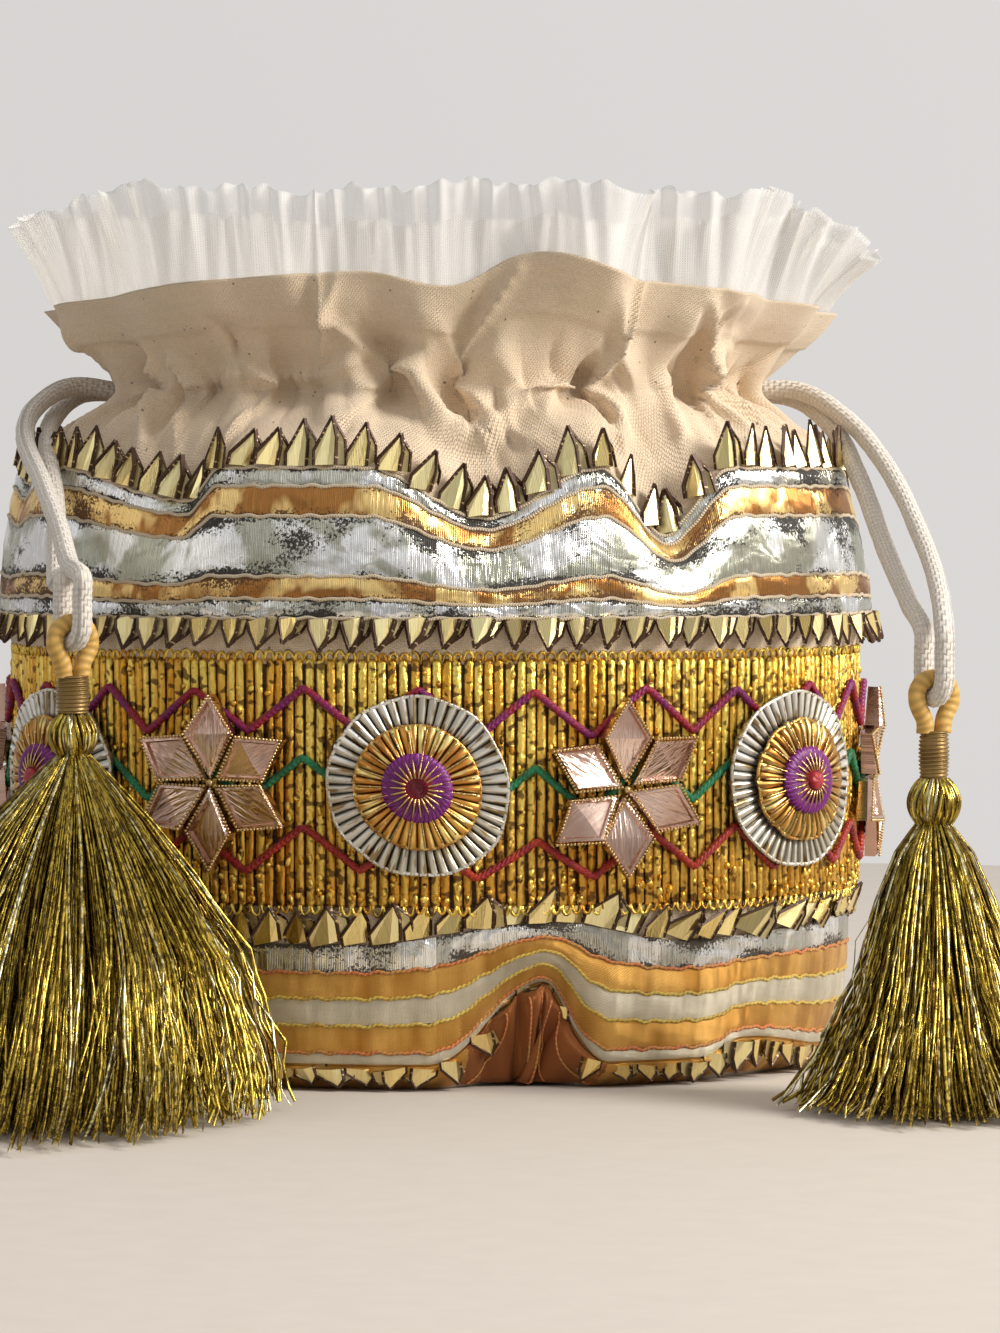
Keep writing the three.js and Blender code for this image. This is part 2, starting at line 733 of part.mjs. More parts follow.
// The hanging threads, from the floor up. The longest ones spill forwards on the floor.
function tasselSkirt(tassel) {
  const top = -loopHeight - 3 * clearance - tassel.bindingLength - tassel.headLength;
  const floor = -tassel.loop.z;
  const vertical = new THREE.Vector3(0, 0, 1);
  const lean = new THREE.Vector3(...tassel.lean, 0);
  lean.applyAxisAngle(vertical, -THREE.MathUtils.degToRad(tassel.turn));
  const rings = [...tassel.skirt].reverse().map(([down, width]) => {
    const height = THREE.MathUtils.lerp(top, floor, down);
    const lying = THREE.MathUtils.clamp((down - 0.88) / 0.1, 0, 1);
    return ring(36, (turn, i) => {
      const flute = 1 + 0.035 * (i % 2 === 0 ? 1 : -1);
      const forwards = tassel.spill * lying * swell(turn + tassel.turn, 262, 52);
      const point = roundPoint(tassel.skirtRadius * width * flute + forwards, turn, height);
      return point.addScaledVector(lean, down);
    });
  });
  return stack(rings, lean.clone().setZ(floor), new THREE.Vector3(0, 0, top));
}

function addTassel(group, tassel) {
  const holder = new THREE.Group();
  holder.position.set(tassel.loop.x, tassel.loop.y, tassel.loop.z);
  holder.rotation.z = THREE.MathUtils.degToRad(tassel.turn);
  const { name } = tassel;
  holder.add(named(`${name}_tassel_loop`, tasselLoop(), material(0xc79a3f, 0.8, 0)));
  holder.add(named(`${name}_tassel_binding`, whippedBinding(tassel), material(0x8b6a35, 0.6, 0.3)));
  holder.add(named(`${name}_tassel_head`, tasselHead(tassel), material(goldThreadColour, 0.4, 0.7)));
  holder.add(named(`${name}_tassel_skirt`, tasselSkirt(tassel), material(goldThreadColour, 0.4, 0.7)));
  group.add(holder);
}

const bag = new THREE.Group();

const cotton = material(cottonColour, 0.95, 0);
const cordCotton = material(cordColour, 0.95, 0);
bag.add(named('cotton_bag_body', bagBody(), cotton));
bag.add(named('net_frill', netFrill(), material(0xf4efe6, 0.9, 0)));

addRibbons(bag, upperRibbons, upperBottomRow, 0.3);
addRibbons(bag, lowerRibbons, hemRow, 0.45);

const foil = material(0xb79f63, 0.35, 0.8);
// Name, row of the skin, rise, slant, and the height that the points stop at
const pointRows = [
  ['upper_band_top_points', shoulderRow, upperPointRise, 0, channelHeight],
  ['upper_band_bottom_points', upperBottomRow, -upperPointDrop, 0.5, panelTop + clearance],
  ['lower_band_top_points', lowerTopRow, lowerPointRise, 0.5, panelBottom - clearance],
  ['lower_band_bottom_points', hemRow, -lowerPointDrop, 0, clearance],
];
for (const [name, row, rise, slant, limit] of pointRows) {
  bag.add(named(name, pointTrim(row, rise, slant, limit), foil));
}

bag.add(named('ribbed_gold_panel', ribbedPanel(), material(0xb98a2b, 0.4, 0.6)));
for (const [name, middle, colour] of zigzags) {
  bag.add(named(name, zigzagThread(middle), material(colour, 0.7, 0)));
}
addMotifs(bag);

bag.add(named('neck_casing', neckCasing(), cotton));
const runLift = (cordDiameter + clearance) / 2;
bag.add(named('left_cord_run', hiddenRun(-1, channelHeight + runLift), cordCotton));
bag.add(named('right_cord_run', hiddenRun(1, channelHeight - runLift), cordCotton));

for (const tassel of tassels) {
  addDrawstrings(bag, tassel, cordCotton);
  addTassel(bag, tassel);
}

export default bag;
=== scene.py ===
# %% [markdown]
# # A potli bag
#
# A potli is a gathered cotton pouch that closes with drawstrings. This one carries foil ribbons,
# folded foil points, a panel of gold ribs, sewn motifs, a net frill and two gold tassels.
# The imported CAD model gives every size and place. Each cell below dresses one piece of it.

import math
from contextlib import contextmanager

import bmesh
import bpy
import numpy as np
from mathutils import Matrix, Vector


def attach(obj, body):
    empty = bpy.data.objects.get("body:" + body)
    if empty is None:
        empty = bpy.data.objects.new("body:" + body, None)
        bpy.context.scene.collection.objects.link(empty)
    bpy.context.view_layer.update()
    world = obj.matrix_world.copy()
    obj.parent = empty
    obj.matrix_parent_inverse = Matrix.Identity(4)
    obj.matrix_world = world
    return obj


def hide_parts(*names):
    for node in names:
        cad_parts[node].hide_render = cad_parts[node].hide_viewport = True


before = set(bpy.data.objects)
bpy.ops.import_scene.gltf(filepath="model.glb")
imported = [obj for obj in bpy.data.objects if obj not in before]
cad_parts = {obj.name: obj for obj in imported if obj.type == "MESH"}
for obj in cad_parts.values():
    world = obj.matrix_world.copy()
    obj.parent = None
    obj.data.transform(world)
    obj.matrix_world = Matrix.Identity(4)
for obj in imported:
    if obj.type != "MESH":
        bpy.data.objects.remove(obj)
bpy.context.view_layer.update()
MM = 0.001

# %% [markdown]
# ## Camera
#
# The photograph is taken from about 1.4 m away, a little above the bag, with a long lens.
# A long lens keeps the bands nearly flat. The lens is worked out from its focal length in pixels.

# %% Place the camera
PHOTO_HEIGHT = 1333
FOCAL_PIXELS = 5180
CAMERA_DISTANCE = 1.4
CAMERA_HEIGHT = 0.15
TURN_RIGHT = math.degrees(math.atan(64 / FOCAL_PIXELS))
TURN_DOWN = math.degrees(math.atan(162.5 / FOCAL_PIXELS))

camera_data = bpy.data.cameras.new("photo_camera")
camera_data.lens = FOCAL_PIXELS / PHOTO_HEIGHT * camera_data.sensor_width
camera = bpy.data.objects.new("photo_camera", camera_data)
camera.location = (0, -CAMERA_DISTANCE, CAMERA_HEIGHT)
camera.rotation_euler = (math.radians(90 - TURN_DOWN), 0, math.radians(-TURN_RIGHT))
bpy.context.collection.objects.link(camera)
bpy.context.scene.camera = camera
bpy.context.scene.view_settings.view_transform = "Standard"
print("lens", round(camera_data.lens, 1), "mm")

# %% [markdown]
# ## The skin of the bag
#
# Everything is sewn on one curved skin. The CAD model builds it from eighteen rows of points.
# The same rows are worked out here for any angle, and a smooth curve runs through them,
# so a ribbon or a thread can be laid anywhere. Angles are in degrees round the bag from its front,
# and a level is the height that a point has where the cloth has no crease, in millimetres.

# %% Sizes of the skin
HEM, LOWER_TOP, PANEL_BOTTOM, PANEL_TOP = 5.5, 38.0, 48.0, 110.0
BAND_BOTTOM, BAND_TOP, CHANNEL, LIP = 121.0, 159.0, 180.0, 206.0
BASE_WIDTH, HEM_WIDTH, LOWER_WIDTH, BELLY_WIDTH = 98.0, 106.0, 110.5, 113.0
BAND_WIDTH, SHOULDER_WIDTH, CHANNEL_WIDTH, LIP_WIDTH = 116.5, 111.5, 85.0, 101.0
FLATNESS = 86.0 / 113.0
GATHERS, GATHER_DEPTH = 20, 5.0
DENT = {"at": 15, "left": 16, "right": 9, "depth": 17}

# Angle, reach before and after it, and depth of each crease in the shoulder
CREASES = [
    (-35, 26, 6, 8.5), (6.4, 16, 16, 13), (33, 12, 10, 17.5), (88, 17, 17, 7), (122, 14, 14, 13),
    (153, 14, 14, 10), (184, 16, 16, 14), (-140, 15, 15, 9), (-108, 14, 14, 13), (-76, 9, 9, 4),
]

# Angle, reach before and after it, and bulge of each big fold at the top edge of the cotton
LIP_FOLDS = [
    (-68, 13, 13, 6), (-38, 20, 20, 8), (-22, 9, 5, 3), (24, 18, 8, 12), (46, 12, 14, 7), (70, 11, 11, 6),
    (95, 14, 14, 8), (122, 15, 15, 7), (149, 13, 13, 10), (174, 14, 14, 7), (-160, 14, 14, 9),
    (-132, 15, 15, 8), (-104, 14, 14, 7), (-86, 10, 10, 4),
]

UPPER_RIBBONS = [
    ("upper_edge_silver_ribbon", 4.7), ("upper_lower_gold_ribbon", 5.5), ("upper_wide_silver_ribbon", 14.6),
    ("upper_upper_gold_ribbon", 7.3), ("upper_top_silver_ribbon", 4.4),
]
LOWER_RIBBONS = [
    ("lower_corded_edge_ribbon", 4.5), ("lower_satin_ribbon", 20.5), ("lower_foil_ribbon", 7.5),
]


def ribbon_shares(ribbons):
    """Where each ribbon of a band ends, as shares of the band's height."""
    widths = [width for _, width in ribbons]
    return np.cumsum(widths) / sum(widths)


LOWER_SHARES = ribbon_shares(LOWER_RIBBONS)
UPPER_SHARES = ribbon_shares(UPPER_RIBBONS)
LEVELS = np.array([
    0, HEM, *(HEM + (LOWER_TOP - HEM) * LOWER_SHARES), PANEL_BOTTOM, PANEL_TOP, BAND_BOTTOM,
    *(BAND_BOTTOM + (BAND_TOP - BAND_BOTTOM) * UPPER_SHARES),
    BAND_TOP + 0.55 * (CHANNEL - BAND_TOP), CHANNEL,
    CHANNEL + 0.35 * (LIP - CHANNEL), CHANNEL + 0.75 * (LIP - CHANNEL), LIP,
])
print("levels", np.round(LEVELS, 1).tolist())

# %% Rows of the skin at any angle


def swell(angle, at, before, after=None):
    """1 at the middle of a swell and 0 past its reach on either side."""
    away = (np.asarray(angle, float) - at + 180) % 360 - 180
    reach = np.where(away < 0, before, before if after is None else after)
    return np.where(np.abs(away) < reach, 0.5 + 0.5 * np.cos(np.pi * away / reach), 0.0)


def sine(degrees):
    return np.sin(np.radians(degrees))


def cosine(degrees):
    return np.cos(np.radians(degrees))


def round_angles(count):
    return np.linspace(0, 360, count, endpoint=False)


def mix(low, high, share):
    return low + (high - low) * share


def smoothstep(value, low, high):
    share = np.clip((value - low) / (high - low), 0, 1)
    return share * share * (3 - 2 * share)


def hem_lift(angle):
    return 21.5 * swell(angle, DENT["at"], DENT["left"], DENT["right"]) + 4.5 * swell(angle, 47, 8, 25)


def lower_band_lift(angle):
    return 5.5 * swell(angle, DENT["at"], 26, 20) + 3 * swell(angle, 75, 40)


def lip_lift(angle):
    return 4 * cosine(2 * angle) + 5 * swell(angle, 16, 14) - 4 * swell(angle, 1, 12)


def gather_wave(angle):
    """Uneven gathers, which keep the CAD model's count."""
    drift = 3.4 * sine(3 * angle + 40) + 2.2 * sine(7 * angle + 15)
    wave = cosine(GATHERS * (angle + drift))
    second = cosine(33 * angle + 70)
    return GATHER_DEPTH * (0.75 * wave + 0.3 * second)


def skin_rows(angle):
    """Height, half width and push of each row, one column for each angle."""
    angle = np.asarray(angle, float)
    flat = np.zeros_like(angle)
    dented = -DENT["depth"] * swell(angle, DENT["at"], DENT["left"], DENT["right"])
    drop = sum(depth * swell(angle, at, before, after) for at, before, after, depth in CREASES)
    shoulder = BAND_TOP - drop
    gather = gather_wave(angle)
    fold = sum(bulge * swell(angle, at, before, after) for at, before, after, bulge in LIP_FOLDS)
    lip = LIP + lip_lift(angle)
    hem = HEM + hem_lift(angle)
    lower_top = LOWER_TOP + lower_band_lift(angle)
    rows = [(flat, flat + BASE_WIDTH, dented)]
    for share in [0, *LOWER_SHARES]:
        height = mix(hem, lower_top, share)
        rounded = np.sqrt(smoothstep(height, 0, LOWER_TOP))
        inwards = 1 - smoothstep(height, HEM, lower_top)
        rows.append((height, mix(HEM_WIDTH, LOWER_WIDTH, rounded), inwards * dented))
    rows.append((flat + PANEL_BOTTOM, flat + mix(LOWER_WIDTH, BELLY_WIDTH, 0.8), flat))
    rows.append((flat + PANEL_TOP, flat + BELLY_WIDTH, flat))
    for share in [0, *UPPER_SHARES]:
        height = mix(BAND_BOTTOM, shoulder, share)
        rows.append((height, flat + mix(BAND_WIDTH, SHOULDER_WIDTH, share**2), -0.3 * drop * share**1.5))
    rows += [
        (mix(shoulder, CHANNEL, 0.55), flat + mix(SHOULDER_WIDTH, CHANNEL_WIDTH, 0.5),
         0.3 * gather - 0.1 * drop),
        (flat + CHANNEL, flat + CHANNEL_WIDTH, gather),
        (mix(CHANNEL, lip, 0.35), flat + mix(CHANNEL_WIDTH, LIP_WIDTH, 0.25), 0.7 * gather + 0.35 * fold),
        (mix(CHANNEL, lip, 0.75), flat + mix(CHANNEL_WIDTH, LIP_WIDTH, 0.75), 0.25 * gather + 0.8 * fold),
        (lip, flat + LIP_WIDTH, fold),
    ]
    return [np.array([row[part] for row in rows]) for part in range(3)]


def smooth_through(values, at):
    """A curve without overshoot through one value for each row, read at one level for each column."""
    gaps = np.diff(LEVELS)[:, None]
    slopes = np.diff(values, axis=0) / gaps
    before, after = slopes[:-1], slopes[1:]
    heavy, light = 2 * gaps[1:] + gaps[:-1], gaps[1:] + 2 * gaps[:-1]
    same = before * after > 0
    safe_before = np.where(same, before, 1)
    safe_after = np.where(same, after, 1)
    bends = np.where(same, (heavy + light) / (heavy / safe_before + light / safe_after), 0)
    tangents = np.vstack([slopes[:1], bends, slopes[-1:]])
    row = np.clip(np.searchsorted(LEVELS, at, "right") - 1, 0, len(LEVELS) - 2)
    column = np.arange(values.shape[1])
    gap = np.diff(LEVELS)[row]
    t = (at - LEVELS[row]) / gap
    start, end = values[row, column], values[row + 1, column]
    leave, arrive = tangents[row, column] * gap, tangents[row + 1, column] * gap
    return (
        start * (2 * t**3 - 3 * t**2 + 1) + leave * (t**3 - 2 * t**2 + t)
        + end * (3 * t**2 - 2 * t**3) + arrive * (t**3 - t**2)
    )


def ellipse_point(angle, half_width, push, height):
    turn = np.radians(angle)
    out = np.stack([FLATNESS * np.sin(turn), -np.cos(turn)], axis=-1)
    out /= np.linalg.norm(out, axis=-1, keepdims=True)
    x = half_width * np.sin(turn) + push * out[..., 0]
    y = -half_width * FLATNESS * np.cos(turn) + push * out[..., 1]
    return np.stack([x, y, height], axis=-1)


def skin_at(angle, level):
    """Points of the skin, in millimetres, for arrays of angles and levels of the same length."""
    angle, level = np.broadcast_arrays(np.asarray(angle, float), np.asarray(level, float))
    height, half_width, push = (smooth_through(values, level) for values in skin_rows(angle))
    return ellipse_point(angle, half_width, push, height)


def unit(vectors):
    return vectors / np.maximum(np.linalg.norm(vectors, axis=-1, keepdims=True), 1e-9)


def skin_frame(angle, level):
    """The skin's point, and its directions along, up and out, at each place."""
    along = unit(skin_at(angle + 0.25, level) - skin_at(angle - 0.25, level))
    up = unit(skin_at(angle, np.minimum(level + 0.4, LIP)) - skin_at(angle, np.maximum(level - 0.4, 0)))
    out = unit(np.cross(along, up))
    return skin_at(angle, level), along, up, out


def skin_grid(angles, levels, offset=0.0):
    """A grid of points on the skin or off it, one row of levels for each angle."""
    angle, level = np.meshgrid(angles, levels, indexing="ij")
    place, _, _, out = skin_frame(angle.ravel(), level.ravel())
    return (place + out * offset).reshape(len(angles), len(levels), 3)


belly = skin_at(np.linspace(0, 360, 721), 80.0)
BELLY_ROUND = float(np.linalg.norm(np.diff(belly, axis=0), axis=1).sum())
print("round the belly", round(BELLY_ROUND, 1), "mm")

# %% [markdown]
# ## Making meshes
#
# Cloth, ribbons and cords are all grids: one line of points after another, joined by quads.
# Each grid gets a UV map in metres, so a weave or a foil pattern has its real size everywhere
# and follows the piece instead of the room.

# %% Grid and cord helpers


def link(name, mesh):
    made = bpy.data.objects.new(name, mesh)
    bpy.context.collection.objects.link(made)
    return made


def grid_mesh(name, points, along, up, around=True, across=False, sharp=None):
    """A mesh from a grid of points in millimetres. along and up are the UV values of its lines, in metres."""
    columns, rows = points.shape[:2]
    i, j = (v.ravel() for v in np.meshgrid(
        np.arange(columns if around else columns - 1), np.arange(rows if across else rows - 1), indexing="ij"
    ))
    next_i, next_j = (i + 1) % columns, (j + 1) % rows
    faces = np.stack([i * rows + j, next_i * rows + j, next_i * rows + next_j, i * rows + next_j], axis=1)
    mesh = bpy.data.meshes.new(name)
    mesh.from_pydata((points.reshape(-1, 3) * MM).tolist(), [], faces.tolist())
    along, up = np.asarray(along, float), np.asarray(up, float)
    u = np.stack([along[i], along[i + 1], along[i + 1], along[i]], axis=1)
    v = np.stack([up[j], up[j], up[next_j], up[next_j]], axis=1)
    layer = mesh.uv_layers.new(name="cloth")
    layer.data.foreach_set("uv", np.stack([u, v], axis=-1).ravel())
    mesh.polygons.foreach_set("use_smooth", np.ones(len(faces), bool))
    if sharp is not None:
        mesh.set_sharp_from_angle(angle=math.radians(sharp))
    return mesh


def belly_lengths(count, start=0.0):
    """UV values for count columns and the one that closes the ring."""
    return (start / 360 + np.linspace(0, 1, count + 1)) * BELLY_ROUND * MM


def strip(name, angles, levels, inner, outer, sharp=50):
    """A closed ribbon round the bag between its first and last level, from inner to outer off the skin."""
    outside = skin_grid(angles, levels, outer)
    inside = skin_grid(angles, levels, inner)
    points = np.concatenate([outside, inside[:, ::-1]], axis=1)
    up = np.concatenate([levels, levels[::-1]]) * MM
    return grid_mesh(name, points, belly_lengths(len(angles), angles[0]), up, across=True, sharp=sharp)


@contextmanager
def reworked(mesh):
    """Opens a mesh for changes. Afterwards every face is turned outwards."""
    work = bmesh.new()
    work.from_mesh(mesh)
    yield work
    bmesh.ops.recalc_face_normals(work, faces=work.faces)
    work.to_mesh(mesh)
    work.free()


def carried(directions, normal):
    """Turns a starting normal along a path without twist."""
    normals = [unit(normal - directions[0] * np.dot(normal, directions[0]))]
    for direction in directions[1:]:
        last = normals[-1]
        normals.append(unit(last - direction * np.dot(last, direction)))
    return np.array(normals)


def cord_mesh(name, path, radius, sides=10, closed=False, sides_up=None, lobes=0, lobe_depth=0.0,
              lobe_pitch=10.0):
    """A round cord along a path in millimetres. Lobes wind round it, one full turn in each pitch."""
    path = np.asarray(path, float)
    if closed:
        directions = unit(np.roll(path, -1, axis=0) - np.roll(path, 1, axis=0))
    else:
        directions = unit(np.gradient(path, axis=0))
    up = carried(directions, np.array([0.31, 0.23, 0.92])) if sides_up is None else sides_up
    side = unit(np.cross(directions, up))
    steps = np.linalg.norm(np.diff(path, axis=0), axis=1)
    length = np.concatenate([[0], np.cumsum(steps)])
    total = length[-1] + (np.linalg.norm(path[0] - path[-1]) if closed else 0)
    pitch = total / max(round(total / lobe_pitch), 1)
    turn = np.linspace(0, 2 * np.pi, sides, endpoint=False)
    wave = 1 + lobe_depth * np.cos(lobes * (turn[None, :] - 2 * np.pi * length[:, None] / pitch))
    reach = np.broadcast_to(np.asarray(radius, float), (len(path),))[:, None] * wave
    points = path[:, None] + reach[..., None] * (
        np.cos(turn)[None, :, None] * up[:, None] + np.sin(turn)[None, :, None] * side[:, None]
    )
    points = points[:, ::-1]
    along = np.concatenate([length, [total]]) * MM
    round_it = np.linspace(0, 1, sides + 1) * 2 * np.pi * float(np.max(radius)) * MM
    mesh = grid_mesh(name, points, along, round_it, around=closed, across=True)
    if not closed:
        cap_ends(mesh, sides, len(path))
    return mesh


def cap_ends(mesh, sides, rings):
    """Closes both ends of an open cord."""
    with reworked(mesh) as work:
        work.verts.ensure_lookup_table()
        first = [work.verts[k] for k in range(sides)]
        last = [work.verts[(rings - 1) * sides + k] for k in range(sides)]
        work.faces.new(first[::-1])
        work.faces.new(last)


def welded(mesh, distance=1e-6):
    """Closes seams and poles."""
    with reworked(mesh) as work:
        bmesh.ops.remove_doubles(work, verts=work.verts, dist=distance)
        bmesh.ops.dissolve_degenerate(work, edges=work.edges, dist=distance)
    return mesh


def marked(mesh, name, values):
    """Writes one number for each point of a mesh, for its finish to read."""
    layer = mesh.attributes.new(name, "FLOAT", "POINT")
    layer.data.foreach_set("value", np.broadcast_to(np.asarray(values, float), (len(mesh.vertices),)).copy())
    return mesh


def joined(name, meshes):
    """One object from several meshes."""
    parts = [link(name if k == 0 else f"{name}_{k}", mesh) for k, mesh in enumerate(meshes)]
    if len(parts) > 1:
        with bpy.context.temp_override(active_object=parts[0], selected_editable_objects=parts):
            bpy.ops.object.join()
    return parts[0]


def finish_piece(piece, finish, body="bag", stands_for=()):
    """Gives an object or a mesh its finish and its body, and hides the CAD nodes that it stands for."""
    if isinstance(piece, bpy.types.Mesh):
        piece = link(piece.name, piece)
    piece.data.materials.clear()
    piece.data.materials.append(finish)
    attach(piece, body)
    if stands_for:
        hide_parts(*stands_for)
    triangles = sum(len(face.vertices) - 2 for face in piece.data.polygons)
    print(piece.name, triangles, "triangles")
    return piece


# %% [markdown]
# ## Building blocks for finishes
#
# A finish is a few nodes that feed one Principled shader. What several finishes share is made once,
# as a node group with its own inputs: a weave, worn foil, flecks, spun thread and slow colour drift.

# %% Node helpers


class Signal:
    """A value that comes out of a node. Sums and products of signals become Math nodes."""

    def __init__(self, socket):
        self.socket = socket
        self.tree = socket.id_data

    def __add__(self, other):
        return calc("ADD", self, other)

    def __radd__(self, other):
        return calc("ADD", other, self)

    def __sub__(self, other):
        return calc("SUBTRACT", self, other)

    def __rsub__(self, other):
        return calc("SUBTRACT", other, self)

    def __mul__(self, other):
        return calc("MULTIPLY", self, other)

    def __truediv__(self, other):
        return calc("DIVIDE", self, other)


def connect(value, socket):
    """Feeds a socket with a signal, another socket or a plain value."""
    if isinstance(value, Signal):
        value = value.socket
    if isinstance(value, bpy.types.NodeSocket):
        socket.id_data.links.new(value, socket)
    else:
        socket.default_value = value


def node(tree, kind, values=None, **settings):
    """A node with its settings, and its inputs given by name or number."""
    made = tree.nodes.new(kind)
    for key, value in settings.items():
        setattr(made, key, value)
    for key, value in (values or {}).items():
        connect(value, made.inputs[key])
    return made


def calc(operation, *values):
    tree = next(value.tree for value in values if isinstance(value, Signal))
    made = node(tree, "ShaderNodeMath", dict(enumerate(values)), operation=operation)
    return Signal(made.outputs[0])


def noise(vector, scale, detail=3.0, roughness=0.55, distortion=0.0):
    values = {"Vector": vector, "Scale": scale, "Detail": detail, "Roughness": roughness,
              "Distortion": distortion}
    return Signal(node(vector.tree, "ShaderNodeTexNoise", values).outputs["Fac"])


def step_between(value, low, high):
    values = {"Value": value, "From Min": low, "From Max": high}
    return Signal(node(value.tree, "ShaderNodeMapRange", values).outputs["Result"])


def blend_colours(share, first, second):
    first, second = ((*value, 1.0) if isinstance(value, tuple) else value for value in (first, second))
    values = {0: share, 6: first, 7: second}
    return Signal(node(share.tree, "ShaderNodeMix", values, data_type="RGBA").outputs[2])


def stretch(vector, scale):
    return Signal(node(vector.tree, "ShaderNodeMapping", {"Vector": vector, "Scale": scale}).outputs[0])


def scaled(vector, share):
    made = node(vector.tree, "ShaderNodeVectorMath", {0: vector, "Scale": share}, operation="SCALE")
    return Signal(made.outputs[0])


def moved(vector, shift):
    made = node(vector.tree, "ShaderNodeVectorMath", {0: vector, 1: shift}, operation="ADD")
    return Signal(made.outputs[0])


def split(vector):
    return [Signal(part) for part in node(vector.tree, "ShaderNodeSeparateXYZ", {0: vector}).outputs]


def named_signals(sockets):
    return {socket.name: Signal(socket) for socket in sockets if socket.name}


def shader_group(name, inputs, outputs):
    """An empty node group with its input and output sockets. Returns the tree and both ends."""
    tree = bpy.data.node_groups.new(name, "ShaderNodeTree")
    tree.interface.new_socket("Vector", in_out="INPUT", socket_type="NodeSocketVector")
    for label, value in inputs.items():
        tree.interface.new_socket(label, in_out="INPUT", socket_type="NodeSocketFloat").default_value = value
    for label in outputs:
        tree.interface.new_socket(label, in_out="OUTPUT", socket_type="NodeSocketFloat")
    given = tree.nodes.new("NodeGroupInput").outputs
    return tree, named_signals(given), tree.nodes.new("NodeGroupOutput").inputs


def use_group(group, place, **values):
    """A node group on a place. An input's name has a low line for each of its spaces."""
    made = place.tree.nodes.new("ShaderNodeGroup")
    made.node_tree = group
    for label, value in {"Vector": place, **values}.items():
        connect(value, made.inputs[label.replace("_", " ")])
    return named_signals(made.outputs)


# %% Plain weave, flecks, worn foil, spun thread and colour drift


def make_weave():
    tree, given, result = shader_group("plain_weave", {"Threads per metre": 2200.0, "Unevenness": 0.3},
                                       ["Height", "Shade"])
    wander = node(tree, "ShaderNodeTexNoise", {"Vector": given["Vector"], "Scale": 260.0, "Detail": 2.0})
    x, y, _ = split(moved(given["Vector"], scaled(Signal(wander.outputs["Color"]), 0.0009)))
    turns = given["Threads per metre"] * math.pi
    warp = calc("SINE", x * turns)
    weft = calc("SINE", y * turns)
    over = calc("GREATER_THAN", warp * weft, 0.0)
    high_warp, high_weft = calc("ABSOLUTE", warp), calc("ABSOLUTE", weft)
    thread = Signal(node(tree, "ShaderNodeMix", {0: over, 2: high_warp, 3: high_weft}).outputs[0])
    slub = noise(stretch(given["Vector"], (60, 900, 1)), 1.0, 2.0)
    uneven = (slub - 0.5) * given["Unevenness"]
    connect(thread + uneven * 2.0, result["Height"])
    # Painted shade: the Shade output is darker where the weave is low, between the threads. The slubs add
    # real unevenness.
    shade = thread * 0.25 + 0.8
    connect(shade + uneven, result["Shade"])
    return tree


def make_flecks():
    tree, given, result = shader_group("seed_flecks", {"Flecks per metre": 160.0, "Size": 0.07}, ["Mask"])
    cells = node(tree, "ShaderNodeTexVoronoi",
                 {"Vector": given["Vector"], "Scale": given["Flecks per metre"]})
    ragged = noise(given["Vector"], 3500.0, 2.0)
    reach = given["Size"] * (ragged + 0.35)
    near = calc("LESS_THAN", Signal(cells.outputs["Distance"]), reach)
    some = calc("GREATER_THAN", split(Signal(cells.outputs["Color"]))[0], 0.45)
    connect(near * some, result["Mask"])
    return tree


def make_worn_foil():
    tree, given, result = shader_group("worn_foil", {"Wear": 0.5, "Crumple": 1.0, "Edge": 0.0},
                                       ["Worn", "Height", "Cloud"])
    patches = noise(stretch(given["Vector"], (1, 1.6, 1)), 55.0, 3.0, 0.6)
    grains = noise(stretch(given["Vector"], (1, 0.8, 1)), 1500.0, 3.0, 0.7)
    sum_of_both = patches * 1.3 + grains * 0.9
    limit = 1.5 - given["Wear"] * 0.3
    limit = limit - given["Edge"] * 0.22
    worn = step_between(sum_of_both, limit, limit + 0.05)
    crumple = noise(given["Vector"], 95.0, 2.0, 0.45, 0.8)
    folds = noise(stretch(given["Vector"], (3.4, 0.5, 1)), 70.0, 3.0)
    ribs = calc("SINE", split(given["Vector"])[0] * (2 * math.pi * 2400))
    soft = (crumple + folds) * given["Crumple"]
    connect(soft + ribs * 0.02, result["Height"])
    connect(worn, result["Worn"])
    connect(noise(given["Vector"], 32.0, 2.0), result["Cloud"])
    return tree


def make_spun_thread():
    tree, given, result = shader_group("spun_thread", {"Turns per metre": 900.0, "Round": 0.006},
                                       ["Height", "Shade"])
    along, round_it, _ = split(given["Vector"])
    turn = along * given["Turns per metre"]
    lean = round_it / given["Round"]
    wave = calc("SINE", (turn + lean) * (2 * math.pi))
    fuzz = noise(given["Vector"], 2600.0, 2.0)
    connect(wave + fuzz * 0.8, result["Height"])
    # Painted shade: the Shade output is darker in the grooves of the twist.
    connect(wave * 0.14 + 0.86, result["Shade"])
    return tree


def make_drift():
    tree, given, result = shader_group("colour_drift", {"Scale": 30.0, "Amount": 0.2}, ["Shade"])
    cloud = noise(given["Vector"], given["Scale"], 4.0) - 0.5
    connect(cloud * (given["Amount"] * 2.0) + 1.0, result["Shade"])
    return tree


WEAVE, FLECKS, WORN_FOIL = make_weave(), make_flecks(), make_worn_foil()
SPUN, DRIFT = make_spun_thread(), make_drift()
print("shared groups", [group.name for group in (WEAVE, FLECKS, WORN_FOIL, SPUN, DRIFT)])

# %% Start of every finish


def finish(name, metallic=0.0, roughness=0.5, sheen=0.0, coordinates="UV"):
    """A material with its Principled shader, and the coordinates that its patterns read."""
    made = bpy.data.materials.new(name)
    made.use_nodes = True
    tree = made.node_tree
    shader = tree.nodes["Principled BSDF"]
    shader.inputs["Metallic"].default_value = metallic
    shader.inputs["Roughness"].default_value = roughness
    shader.inputs["Sheen Weight"].default_value = sheen
    place = Signal(tree.nodes.new("ShaderNodeTexCoord").outputs[coordinates])
    return made, shader.inputs, place


def shaded(colour, *shades):
    """A colour made lighter or darker by each of some values."""
    for shade in shades:
        colour = scaled(colour, shade)
    return colour


